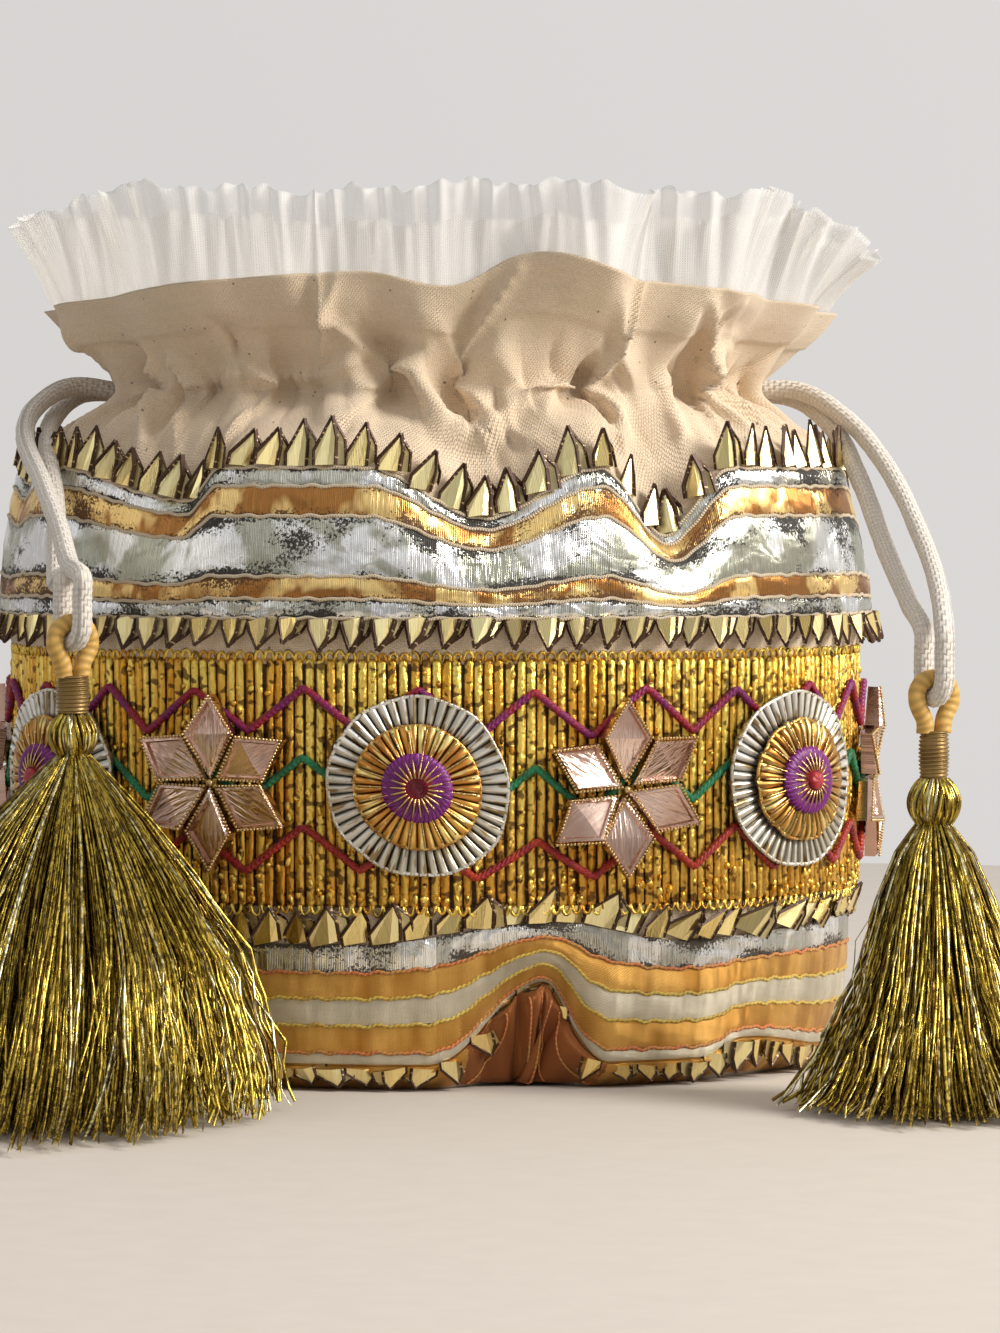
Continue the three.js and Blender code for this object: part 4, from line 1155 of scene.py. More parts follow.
upper_ends = BAND_BOTTOM + (BAND_TOP - BAND_BOTTOM) * np.array([0, *UPPER_SHARES])
upper_foils = [EDGE_SILVER, GOLD_FOIL, SILVER_FOIL, GOLD_FOIL, EDGE_SILVER]
for (name, width), low, high, foil in zip(UPPER_RIBBONS, upper_ends, upper_ends[1:], upper_foils):
    slot = "gold_foil_ribbon" if "gold" in name else "silver_foil_ribbon"
    ribbon(name.replace("upper_", "upper_band_"), low, high, foil, 9 if width > 10 else 6,
           stands_for=[name])
selvedges = [edge_cord("upper_selvedges", level, 0.45) for level in upper_ends]
finish_piece(joined("upper_selvedges", selvedges), CREAM_EDGE)

# %% Ribbons and corded edge of the lower band
lower_ends = HEM + (LOWER_TOP - HEM) * np.array([0, *LOWER_SHARES])
satin_low, satin_high = lower_ends[1], lower_ends[2]
satin_steps = satin_low + (satin_high - satin_low) * np.array([0, 0.34, 0.68, 1])
ribbon("lower_edge_band", lower_ends[0] + 1.4, lower_ends[1], SATIN_PALE,
       stands_for=["lower_corded_edge_ribbon"])
ribbon("lower_gold_band", satin_steps[0], satin_steps[1], SATIN_GOLD, 7,
       stands_for=["lower_satin_ribbon"])
ribbon("lower_pale_band", satin_steps[1], satin_steps[2], SATIN_PALE, 7)
ribbon("lower_upper_gold_band", satin_steps[2], satin_steps[3], SATIN_GOLD, 7)
ribbon("lower_foil_band", lower_ends[2], lower_ends[3], WORN_SILVER,
       stands_for=["lower_foil_ribbon"])
ribbon("base_satin", 0.9, HEM + 1.2, SATIN_GOLD, 6)

# %% [markdown]
# ## Channel and notch
#
# Inside the neck a tape makes the channel for the two drawstrings. Its two edges are sewn to the
# cotton, and its middle bows inwards, where the cords run. At the front the hem opens in a notch.
# There the satin of the base hangs in folds, with a thin piping along them. Both lie in shade, so the satin
# is painted a darker red brown and the gold piping orange, as painted shade. The folds lean forwards as they
# go down, and they end on the ground.

# %% Tape that makes the channel inside the neck
TAPE_PUSH, TAPE_REACH, TAPE_THICKNESS = -11.2, 10.5, 0.8
TAPE_COLUMNS, TAPE_ROWS = 420, 13
tape_turn, tape_share = np.meshgrid(round_angles(TAPE_COLUMNS), np.linspace(0, 1, TAPE_ROWS), indexing="ij")
tape_level = CHANNEL + mix(-TAPE_REACH, TAPE_REACH, tape_share)
bow = np.clip(1.25 * np.sin(math.pi * tape_share), 0, 1).ravel()[:, None]
tape_sides = []
for deeper in (0.0, TAPE_THICKNESS):
    wall = cloth_point(tape_turn.ravel(), tape_level.ravel(), -CLOTH_THICKNESS - 0.05 - deeper)
    oval = ellipse_point(tape_turn.ravel(), CHANNEL_WIDTH, TAPE_PUSH - deeper, tape_level.ravel())
    tape_sides.append(mix(wall, oval, bow).reshape(TAPE_COLUMNS, TAPE_ROWS, 3))
tape_points = np.concatenate([tape_sides[0], tape_sides[1][:, ::-1]], axis=1)
tape_up = np.concatenate([tape_level[0], tape_level[0][::-1] + 100]) * MM
tape_mesh = welded(grid_mesh("neck_tape", tape_points, belly_lengths(TAPE_COLUMNS), tape_up, across=True))
finish_piece(tape_mesh, COTTON_INSIDE, stands_for=["neck_casing"])

# %% Folded satin in the notch
NOTCH_COLUMNS, NOTCH_ROWS = 161, 15
SATIN_THICKNESS, LOWEST_SATIN = 0.8, 1.0


def notch_point(angle, level):
    """A point of the satin that hangs in folds inside the notch of the hem."""
    place, _, _, out = skin_frame(angle, level)
    down = 1 - level / (HEM + 1)
    gape = swell(angle, 15, 12, 9)
    folds = np.abs(sine(angle * 46 + 70 * down + 20)) ** 0.7 - 0.5
    spot = place + out * (0.9 + gape * (1.0 + 10 * down**0.8) + 3.4 * folds * gape**0.5)[:, None]
    spot[:, 2] = np.maximum(spot[:, 2], LOWEST_SATIN)
    return spot, out


notch_angles, notch_levels = np.linspace(1, 26, NOTCH_COLUMNS), np.linspace(0.4, HEM + 1, NOTCH_ROWS)
across, upwards = np.meshgrid(notch_angles, notch_levels, indexing="ij")
notch_front, notch_out = (
    v.reshape(NOTCH_COLUMNS, NOTCH_ROWS, 3) for v in notch_point(across.ravel(), upwards.ravel())
)
notch_points = np.concatenate([notch_front, (notch_front - SATIN_THICKNESS * notch_out)[:, ::-1]], axis=1)
notch_along, notch_up = np.linspace(0, 0.08, NOTCH_COLUMNS), np.linspace(0, 0.04, 2 * NOTCH_ROWS)
notch_mesh = grid_mesh("notch_satin", notch_points, notch_along, notch_up, around=False, across=True)
# Painted shade: the satin in the notch takes the darker satin finish.
finish_piece(notch_mesh, SATIN_IN_SHADE)
piping = []
for first, last in ((9, 4), (12.5, 11), (14.5, 15.5), (17, 20), (18.5, 24.5)):
    run = np.linspace(0, 1, 24)
    line, line_out = notch_point(mix(first, last, run**1.6), mix(HEM + 0.6, 0.9, run**0.8))
    line = line + line_out * 0.2
    piping.append(cord_mesh("piping", line, 0.3, 5, sides_up=line_out, lobes=2, lobe_depth=0.1, lobe_pitch=3))
# Painted shade: the gold piping in the notch takes the orange stitch finish.
finish_piece(joined("notch_piping", piping), ORANGE_STITCH)

# %% [markdown]
# ## Sewing on what repeats
#
# Hundreds of folded points, ribs, beads and petals are sewn on. Each kind is modelled once with a few
# dozen faces. A Geometry Nodes tree then sets a copy on every point of a guide mesh, which carries the
# direction that the copy faces, the direction that is up for it, and its size.

# %% Geometry Nodes tree that sews parts on


def geometry_tree(name, inputs):
    tree = bpy.data.node_groups.new(name, "GeometryNodeTree")
    tree.interface.new_socket("Geometry", in_out="INPUT", socket_type="NodeSocketGeometry")
    for label, kind in inputs:
        tree.interface.new_socket(label, in_out="INPUT", socket_type=kind)
    tree.interface.new_socket("Geometry", in_out="OUTPUT", socket_type="NodeSocketGeometry")
    given = tree.nodes.new("NodeGroupInput").outputs
    return tree, named_signals(given), tree.nodes.new("NodeGroupOutput").inputs


def read_attribute(tree, name, kind):
    made = node(tree, "GeometryNodeInputNamedAttribute", {"Name": name}, data_type=kind)
    return next(socket for socket in made.outputs if socket.enabled and socket.name == "Attribute")


def random_value(tree, kind, low, high, seed):
    made = tree.nodes.new("FunctionNodeRandomValue")
    made.data_type = kind
    first = {"FLOAT_VECTOR": 0, "FLOAT": 2, "INT": 4}[kind]
    connect(low, made.inputs[first])
    connect(high, made.inputs[first + 1])
    connect(seed, made.inputs["Seed"])
    return made.outputs[{"FLOAT_VECTOR": 0, "FLOAT": 1, "INT": 2}[kind]]


def make_sewing_tree():
    tree, given, result = geometry_tree("sew_on", [
        ("Parts", "NodeSocketCollection"), ("Turn", "NodeSocketVector"), ("Size change", "NodeSocketFloat"),
        ("Seed", "NodeSocketInt"), ("Finish", "NodeSocketMaterial"),
    ])
    parts = node(tree, "GeometryNodeCollectionInfo", {
        "Collection": given["Parts"], "Separate Children": True, "Reset Children": True,
    })
    facing = node(tree, "FunctionNodeAxesToRotation", {
        0: read_attribute(tree, "out", "FLOAT_VECTOR"), 1: read_attribute(tree, "up", "FLOAT_VECTOR"),
    }, primary_axis="Z", secondary_axis="Y")
    least = 1.0 - given["Size change"]
    most = 1.0 + given["Size change"]
    change = random_value(tree, "FLOAT", least, most, given["Seed"])
    size = scaled(Signal(read_attribute(tree, "size", "FLOAT_VECTOR")), change)
    placed = node(tree, "GeometryNodeInstanceOnPoints", {
        "Points": given["Geometry"], "Instance": parts.outputs[0], "Pick Instance": True,
        "Instance Index": random_value(tree, "INT", 0, 1000, given["Seed"]),
        "Rotation": facing.outputs[0], "Scale": size,
    })
    turn = random_value(tree, "FLOAT_VECTOR", scaled(given["Turn"], -1.0), given["Turn"], given["Seed"])
    turned = node(tree, "GeometryNodeRotateInstances", {
        "Instances": placed.outputs[0], "Rotation": turn, "Local Space": True,
    })
    toned = node(tree, "GeometryNodeStoreNamedAttribute", {
        "Geometry": turned.outputs[0], "Name": "tone",
        "Value": random_value(tree, "FLOAT", 0.0, 1.0, given["Seed"]),
    }, data_type="FLOAT", domain="INSTANCE")
    real = node(tree, "GeometryNodeRealizeInstances", {0: toned.outputs[0]})
    coated = node(tree, "GeometryNodeSetMaterial", {"Geometry": real.outputs[0], "Material": given["Finish"]})
    tree.links.new(coated.outputs[0], result[0])
    return tree


SEWING = make_sewing_tree()
HIDDEN_PARTS = []


def made_by(name, guide, tree, values):
    """Runs a tree on a guide mesh and returns a new object with the plain mesh that it makes."""
    modifier = guide.modifiers.new("tree", "NODES")
    modifier.node_group = tree
    for socket in tree.interface.items_tree:
        if socket.in_out == "INPUT" and socket.name in values:
            modifier[socket.identifier] = values[socket.name]
    guide.update_tag()
    evaluated = guide.evaluated_get(bpy.context.evaluated_depsgraph_get())
    mesh = bpy.data.meshes.new_from_object(evaluated)
    mesh.name = name
    guide.modifiers.remove(modifier)
    bpy.data.objects.remove(guide)
    return link(name, mesh)


def guide_mesh(places, out, up, size=1.0):
    """The points on which parts are sewn, in millimetres, with their directions and sizes."""
    places = np.asarray(places, float).reshape(-1, 3)
    mesh = bpy.data.meshes.new("guide")
    mesh.from_pydata((places * MM).tolist(), [], [])
    for label, values in (("out", out), ("up", up), ("size", size)):
        layer = mesh.attributes.new(label, "FLOAT_VECTOR", "POINT")
        values = np.broadcast_to(np.asarray(values, float), places.shape)
        layer.data.foreach_set("vector", np.ascontiguousarray(values).ravel())
    return link("guide", mesh)


def part_collection(name, meshes):
    """A collection of parts to pick from. It is out of the scene, so nothing of it renders."""
    collection = bpy.data.collections.new(name)
    for mesh in meshes:
        part = bpy.data.objects.new(mesh.name, mesh)
        collection.objects.link(part)
        HIDDEN_PARTS.append(part)
    return collection


def sew_on(name, guide, parts, coat, turn=(0.0, 0.0, 0.0), change=0.0, seed=1):
    values = {"Parts": parts, "Turn": turn, "Size change": change, "Seed": seed, "Finish": coat}
    return made_by(name, guide, SEWING, values)


def shape(name, points, faces, fold=None, smooth=False):
    """A small part, in millimetres. Its UV map is its own width and height."""
    points = np.asarray(points, float)
    mesh = bpy.data.meshes.new(name)
    mesh.from_pydata((points * MM).tolist(), [], [list(face) for face in faces])
    with reworked(mesh):
        pass
    layer = mesh.uv_layers.new(name="cloth")
    corners = np.zeros(len(mesh.loops), int)
    mesh.loops.foreach_get("vertex_index", corners)
    layer.data.foreach_set("uv", (points[corners][:, :2] * MM).ravel())
    mesh.polygons.foreach_set("use_smooth", np.full(len(mesh.polygons), smooth))
    # fold is 0 on every part except the points. The point finish paints shade by it.
    return marked(mesh, "fold", 0.0 if fold is None else fold)


print("sewing tree has", len(SEWING.nodes), "nodes")

# %% [markdown]
# ## Folded foil points
#
# Each point is a short piece of foil ribbon folded into a triangle. Two facets meet on a ridge. The rolled
# edges of the fold and the leaf behind are painted dark brown as shade, with small painted glints. Each row
# picks at random from two to four slightly different points, so that few neighbours are quite the same.

# %% A bead, which several pieces use
def ring_faces(rings, sides, first=0):
    """The quads between rings of points that follow one another."""
    faces = []
    for a in range((rings - 1) * sides):
        b = a - a % sides + (a + 1) % sides
        faces.append((first + a, first + b, first + b + sides, first + a + sides))
    return faces


def bead(name, radius, sides=6):
    rings = [(0.72, -0.55), (1, 0.05), (0.72, 0.65)]
    points = [(radius * w * math.cos(a), radius * w * math.sin(a), radius * h)
              for w, h in rings for a in np.arange(sides) * 2 * math.pi / sides]
    points += [(0, 0, -radius), (0, 0, radius)]
    faces = ring_faces(3, sides)
    faces += [((k + 1) % sides, k, 3 * sides) for k in range(sides)]
    faces += [(2 * sides + k, 2 * sides + (k + 1) % sides, 3 * sides + 1) for k in range(sides)]
    return shape(name, points, faces, smooth=True)


# %% Foil points


def dark_edge(points, faces, fold, line, radius):
    """Adds a four sided roll along a line to the lists of a small part."""
    line = np.asarray(line, float)
    ways = unit(np.gradient(line, axis=0))
    first = len(points)
    for spot, way in zip(line, ways):
        across = unit(np.cross(way, (0, 0, 1)))
        for x, z in ((1, 0), (0, 1), (-1, 0), (0, -1)):
            points.append(tuple(spot + radius * (x * across + z * np.array([0, 0, 1]))))
            # Every roll gets the full painted shade of the point finish.
            fold.append(1)
    faces.extend(ring_faces(len(line), 4, first))
    faces.extend([tuple(range(first, first + 4)), tuple(range(len(points) - 4, len(points)))])


def folded_point(name, height, base, ridge, lean, roll, side=1):
    """A folded strip: a bright facet, the narrow leaf behind it, and rolls along its edges, which the finish
    paints dark as shade.
    """
    low, high = -0.52 * base * side, 0.3 * base * side
    tip = (0.1 * base * side + lean, height, 0.5)
    points = [
        (low, 0, 0.2), (0.96 * low, 0.3 * height, 0.3), tip, (high + 0.5 * lean, 0.56 * height, 0.3),
        (high, 0, 0.2),
        (0.02 * base * side, 0, 0.3 + ridge),
        (high * 0.8, 0, -0.3), (0.66 * base * side, 0, -1.1),
        (0.58 * base * side + 0.5 * lean, 0.52 * height, -1.0),
        (tip[0], 0.94 * height, 0.0),
    ]
    points += [(x, y, z - 0.35) for x, y, z in points[6:10]]
    faces = [(0, 5, 2, 1), (5, 4, 3, 2), (0, 1, 2, 3, 4), (0, 4, 5), (6, 7, 8, 9), (10, 13, 12, 11)]
    faces += [(6 + k, 10 + k, 10 + (k + 1) % 4, 6 + (k + 1) % 4) for k in range(4)]
    # fold marks painted shade: part of it on the leaf behind, and all of it on the rolls that dark_edge adds.
    fold = [0.0] * 6 + [0.45] * 8
    dark_edge(points, faces, fold, [points[0], points[1], tip], roll)
    dark_edge(points, faces, fold, [tip, points[3], points[4]], roll * 1.3)
    dark_edge(points, faces, fold, [points[9], points[8], points[7]], roll)
    return shape(name, points, faces, fold)


POINT_COUNT = 89
POINT_SEAT, POINT_OVERLAP, TIP_CLEARANCE = 0.6, 1.1, 0.3
POINT_ANGLES = (np.arange(POINT_COUNT) + 0.5) * 360 / POINT_COUNT


def point_row(name, level, rise, side_lean, parts, replaced, tilt=0.25, seed=3, longest=None):
    """A row of points along a level. Rise is 1 where they stand up and -1 where they hang down.

    Where the longest point's height is given, each point is made short enough to stay off the ground."""
    place, along, up, out = skin_frame(POINT_ANGLES, level)
    up = up * rise
    lean = unit(up + along * np.broadcast_to(side_lean, POINT_COUNT)[:, None])
    size = np.ones((POINT_COUNT, 3))
    if longest:
        size[:, 1] = np.clip((place[:, 2] - TIP_CLEARANCE) / longest, 0.3, 1)
    seat = POINT_SEAT + POINT_OVERLAP * (np.arange(POINT_COUNT) % 2)
    guide = guide_mesh(place + out * seat[:, None], unit(out - tilt * up), lean, size)
    made = sew_on(name, guide, parts, POINT_FOIL, turn=(0.12, 0.3, 0.1), change=0.1, seed=seed)
    return finish_piece(made, POINT_FOIL, stands_for=[replaced])


def point_kinds(name, *kinds):
    """Each kind gives a point's height, base, ridge, lean, edge roll and side."""
    return part_collection(f"{name}_points",
                           [folded_point(f"{name}_{k}", *kind) for k, kind in enumerate(kinds)])


tall = point_kinds(
    "tall", (11.0, 6.8, 0.9, 0.6, 0.42), (9.8, 7.0, 1.3, 1.2, 0.5), (11.6, 6.4, 0.6, 1.0, 0.4),
    (10.4, 6.6, 1.6, 0.0, 0.6)
)
slanted = point_kinds(
    "slanted", (7.8, 7.2, 0.9, 2.6, 0.42, -1), (7.0, 7.0, 1.3, 3.6, 0.5, -1), (8.2, 6.6, 0.6, 1.6, 0.45, -1),
    (7.4, 6.4, 1.6, 3.0, 0.6, -1)
)
leaves = point_kinds("leaf", (9.4, 8.8, 0.8, 2.2, 0.4), (8.8, 8.4, 1.2, 3.0, 0.46),
                     (9.2, 9.0, 0.6, 1.2, 0.42))
hanging = point_kinds("hanging", (7.4, 7.8, 0.7, 0.3, 0.36), (6.6, 8.2, 1.0, -0.6, 0.4, -1))
point_row("upper_top_points", BAND_TOP + 0.4, 1, 0.04 * np.sin(POINT_ANGLES), tall, "upper_band_top_points")
point_row("upper_bottom_points", BAND_BOTTOM - 0.2, -1, 0.1, slanted, "upper_band_bottom_points", seed=5)
point_row("lower_top_points", LOWER_TOP + 0.4, 1, 0.5 * sine(POINT_ANGLES - 10), leaves,
          "lower_band_top_points",
          tilt=0.15, seed=8)
point_row("lower_bottom_points", HEM + 0.6, -1, 0.05 * np.sin(POINT_ANGLES), hanging,
          "lower_band_bottom_points",
          tilt=0.1, seed=13, longest=8.6)
print(POINT_COUNT, "points in a row,", round(BELLY_ROUND / POINT_COUNT, 1), "mm apart")

# %% [markdown]
# ## Ribbed gold panel
#
# The panel is one long flat gold lace, folded up and down 263 times. From close by it is a row of
# upright strips with dark lines between them. A plain bump would vanish at the outline, so every strip
# is a real piece: the sewing tree sets one of ten strips on each place.

# %% Ribs of the panel
RIB_COUNT, RIB_PITCH = 263, 2.62
PANEL_SEAT = 0.45
rib_random = np.random.default_rng(21)


def rib(name):
    """One gold strip, of few faces because 263 of them stand in the panel."""
    rows = 10
    height = PANEL_TOP - PANEL_BOTTOM + 1.4
    y = height / 2 * np.concatenate([[-1], np.linspace(-0.97, 0.97, rows - 2), [1]])
    bend = rib_random.uniform(-1, 1, (3, rows))
    loose = 1 - smoothstep(y, -height * 0.34, -height * rib_random.uniform(0.0, 0.16))
    middle = (0.09 + 0.16 * loose) * bend[0]
    half = 1.16 + (0.05 + 0.12 * loose) * bend[1]
    tall_it = 0.95 + (0.1 + 0.3 * loose) * bend[2]
    half[[0, -1]] *= 0.6
    tall_it[[0, -1]] *= 0.4
    section = [(-1, 0), (-0.82, 0.85), (0.1, 1.05), (0.85, 0.8), (1, 0)]
    points = [(middle[i] + half[i] * x, y[i], tall_it[i] * z) for i in range(rows) for x, z in section]
    size = len(section)
    faces = ring_faces(rows, size) + [tuple(range(size)), tuple(range((rows - 1) * size, rows * size))]
    return shape(name, points, faces, smooth=True)


ribs = part_collection("ribs", [rib(f"rib_{k}") for k in range(10)])
rib_angles = np.arange(RIB_COUNT) * 360 / RIB_COUNT
PANEL_MIDDLE = (PANEL_BOTTOM + PANEL_TOP) / 2
middle, along, _, _ = skin_frame(rib_angles, PANEL_MIDDLE)
foot, head = (skin_at(rib_angles, level) for level in (PANEL_BOTTOM, PANEL_TOP))
up = unit(head - foot)
out = unit(np.cross(along, up))
place = (foot + head) / 2
place = place + out * ((middle - place) * out).sum(axis=1)[:, None]
left_side, right_side = (skin_at(rib_angles + side * 180 / RIB_COUNT, PANEL_MIDDLE) for side in (-1, 1))
width = np.linalg.norm(right_side - left_side, axis=1) / RIB_PITCH
rib_size = np.stack([width, np.ones(RIB_COUNT), np.ones(RIB_COUNT)], axis=1)
rib_guide = guide_mesh(place + out * PANEL_SEAT, out, up, rib_size)
gold_ribs = sew_on("gold_ribs", rib_guide, ribs, RIB_GOLD, turn=(0.0, 0.3, 0.01), seed=4)
finish_piece(gold_ribs, RIB_GOLD, stands_for=["ribbed_gold_panel"])

# %% [markdown]
# ## Foil that has come loose
#
# Low on the panel the lace has frayed into small bright lumps. They are beads with six sides, close together
# near the lower edge and thinner further up. A dark sheet under the ribs paints the shade that shows between
# them, and a small loop of lace stands at both ends of each rib.

# %% Loose lumps of foil and the dark sheet of painted shade under the ribs
LUMP_COUNT = 1500
lump_random = np.random.default_rng(41)
lump_ribs = lump_random.integers(0, RIB_COUNT, LUMP_COUNT) + lump_random.uniform(-0.25, 0.25, LUMP_COUNT)
lump_angles = lump_ribs * 360 / RIB_COUNT
lump_levels = PANEL_BOTTOM + 1 + (PANEL_TOP - PANEL_BOTTOM - 3) * lump_random.uniform(0, 1, LUMP_COUNT) ** 1.9
place, _, up, out = skin_frame(lump_angles, lump_levels)
lump_size = lump_random.uniform([0.7, 0.9, 0.7], [1.25, 2.1, 1.1], (LUMP_COUNT, 3))
lumps = part_collection("lumps", [bead("lump", 0.8)])
lump_guide = guide_mesh(place + out * (PANEL_SEAT + 0.85), out, up, lump_size)
panel_lumps = sew_on("panel_lumps", lump_guide, lumps, RIB_GOLD, turn=(0.3, 0.3, 0.4), seed=12)
finish_piece(panel_lumps, RIB_GOLD)
# Painted shade: this dark sheet under the ribs shows between them.
shade_sheet = strip("panel_backing", round_angles(240),
                np.linspace(PANEL_BOTTOM - 0.6, PANEL_TOP - 0.6, 8), 0.05, 0.4)
finish_piece(shade_sheet, PANEL_SHADE)


# %% Loops at both ends of the ribs
def lace_loop(name, width, height, radius):
    turn = np.linspace(0, math.pi, 8)
    path = np.stack([width * np.cos(turn), height * np.sin(turn), 0 * turn], axis=1)
    return cord_mesh(name, path[::-1], radius, 5)


loops = part_collection("lace_loops",
                        [lace_loop("loop_a", 1.15, 2.4, 0.45), lace_loop("loop_b", 1.0, 2.0, 0.5)])
ends = []
for level, direction in ((PANEL_TOP + 0.2, 1), (PANEL_BOTTOM - 0.2, -1)):
    place, _, up, out = skin_frame(rib_angles + (180 / RIB_COUNT if direction < 0 else 0), level)
    ends.append((place + out * 1.0, out, up * direction))
places, outs, ups = (np.concatenate(part) for part in zip(*ends))
loop_guide = guide_mesh(places, outs, ups)
lace_loops = sew_on("lace_loops", loop_guide, loops, RIB_GOLD, turn=(0.12, 0.12, 0.12), change=0.1, seed=6)
finish_piece(lace_loops, RIB_GOLD)

# %% [markdown]
# ## Zigzag threads
#
# Three flat silk threads are couched over the ribs. They are long sewn lines, so each one is a cord on a
# zigzag path that dips between its corners, with the twist of the silk modelled in.

# %% Zigzags
ZIGZAG_SEAT = 2.6
FIRST_MOTIF = -2.3


def zigzag(name, middle, coat, rise=10.5, periods=24, seed=1):
    angles = round_angles(960)
    share = (angles * periods / 360) % 1
    wander = np.random.default_rng(seed)
    knots = wander.uniform(-1, 1, (3, 3))
    slow = sum(k[0] * np.sin(np.radians(angles * n) + 3 * k[1]) for k, n in zip(knots, (5, 9, 14)))
    corner = 1 - 4 * np.abs(share - 0.5)
    level = middle + rise / 2 * -np.clip(corner * 1.06, -1, 1) + 0.35 * slow
    place, _, _, out = skin_frame(angles + FIRST_MOTIF + 0.25 * slow, level)
    path = place + out * (ZIGZAG_SEAT - 0.3 * np.abs(np.sin(math.pi * share * 2)))[:, None]
    mesh = cord_mesh(name, path, 0.98, 8, closed=True, sides_up=out, lobes=3, lobe_depth=0.16, lobe_pitch=7)
    return finish_piece(mesh, coat, stands_for=[f"{name}_thread"])


zigzag("magenta_zigzag", 97.5, MAGENTA, seed=2)
zigzag("green_zigzag", 80.0, GREEN, seed=3)
zigzag("red_zigzag", 62.3, RED, seed=4)

# %% [markdown]
# ## Motifs
#
# Rosettes and stars take turns round the panel, the same length of cloth apart. Each is designed flat,
# in its own millimetres, and is then laid on the curved panel, so that it bends with the cloth.

# %% Laying a flat design on the panel
MOTIF_SEAT, MOTIF_COUNT = 3.45, 12
ARC_ANGLES = np.linspace(-180, 540, 2881)
arc_places = skin_at(ARC_ANGLES, PANEL_MIDDLE)
ARC_LENGTHS = np.concatenate([[0], np.cumsum(np.linalg.norm(np.diff(arc_places, axis=0), axis=1))])


def angle_across(centre, across):
    """The angle that lies some millimetres of cloth to the right of another."""
    start = np.interp(centre, ARC_ANGLES, ARC_LENGTHS)
    return np.interp(start + across, ARC_LENGTHS, ARC_ANGLES)


def on_panel(centre, points, seat=MOTIF_SEAT):
    points = np.asarray(points, float)
    flat = points.reshape(-1, 3)
    place, _, _, out = skin_frame(angle_across(centre, flat[:, 0]), PANEL_MIDDLE + flat[:, 1])
    return (place + out * (seat + flat[:, 2:])).reshape(points.shape)


one_round = float(np.interp(180, ARC_ANGLES, ARC_LENGTHS) - np.interp(-180, ARC_ANGLES, ARC_LENGTHS))
motif_angles = angle_across(FIRST_MOTIF, np.arange(MOTIF_COUNT) * one_round / MOTIF_COUNT)
rosette_angles, star_angles = motif_angles[::2], motif_angles[1::2]
print("motifs at", np.round(motif_angles, 1).tolist())

# %% Discs of the rosettes


def disc(centre, name, radii, height, columns=288, turn_out=None, seat=MOTIF_SEAT):
    """A round piece from its profile. height(turn, radius) gives its top, and its back is flat."""
    turn = np.linspace(0, 2 * math.pi, columns, endpoint=False)[:, None]
    radius = np.asarray(radii, float)[None, :] * (1 if turn_out is None else turn_out(turn))
    x, y = radius * np.cos(turn), radius * np.sin(turn)
    top = np.stack([x, y, height(turn, radius) + 0 * x], axis=-1)
    back = top[:, ::-1] * np.array([1, 1, 0])
    points = np.concatenate([top, back], axis=1)[:, ::-1]
    up = np.concatenate([radii, np.asarray(radii)[::-1]])[::-1] * MM
    along = np.linspace(0, 2 * math.pi, columns + 1) * 0.6 * max(radii) * MM
    mesh = grid_mesh(name, on_panel(centre, points, seat), along, up, across=True, sharp=70)
    # crest runs from 0 in the valleys of the pleats to 1 on their tops. The finishes paint the valleys darker
    # by it, as shade.
    over = top[..., 2] - top[..., 2].min(axis=0)
    crest = np.concatenate([over / max(float(over.max()), 0.01), over[:, ::-1] * 0], axis=1)[:, ::-1]
    return welded(marked(mesh, "crest", crest.ravel()))


def ring_path(centre, radius, height, steps=160, wobble=0.0, seat=MOTIF_SEAT):
    turn = np.linspace(0, 2 * math.pi, steps, endpoint=False)
    reach = radius + wobble * np.sin(turn * 9)
    points = np.stack([reach * np.cos(turn), reach * np.sin(turn), np.full(steps, height)], axis=1)
    return on_panel(centre, points, seat)


def dome(radius, reach):
    """1 in the middle and 0 at the reach, round like a ball."""
    return np.sqrt(np.clip(1 - (radius / reach) ** 2, 0, 1))


def pleats(count, depth, sharpness=1.0):
    return lambda turn: depth * np.abs(np.sin(turn * count / 2)) ** sharpness


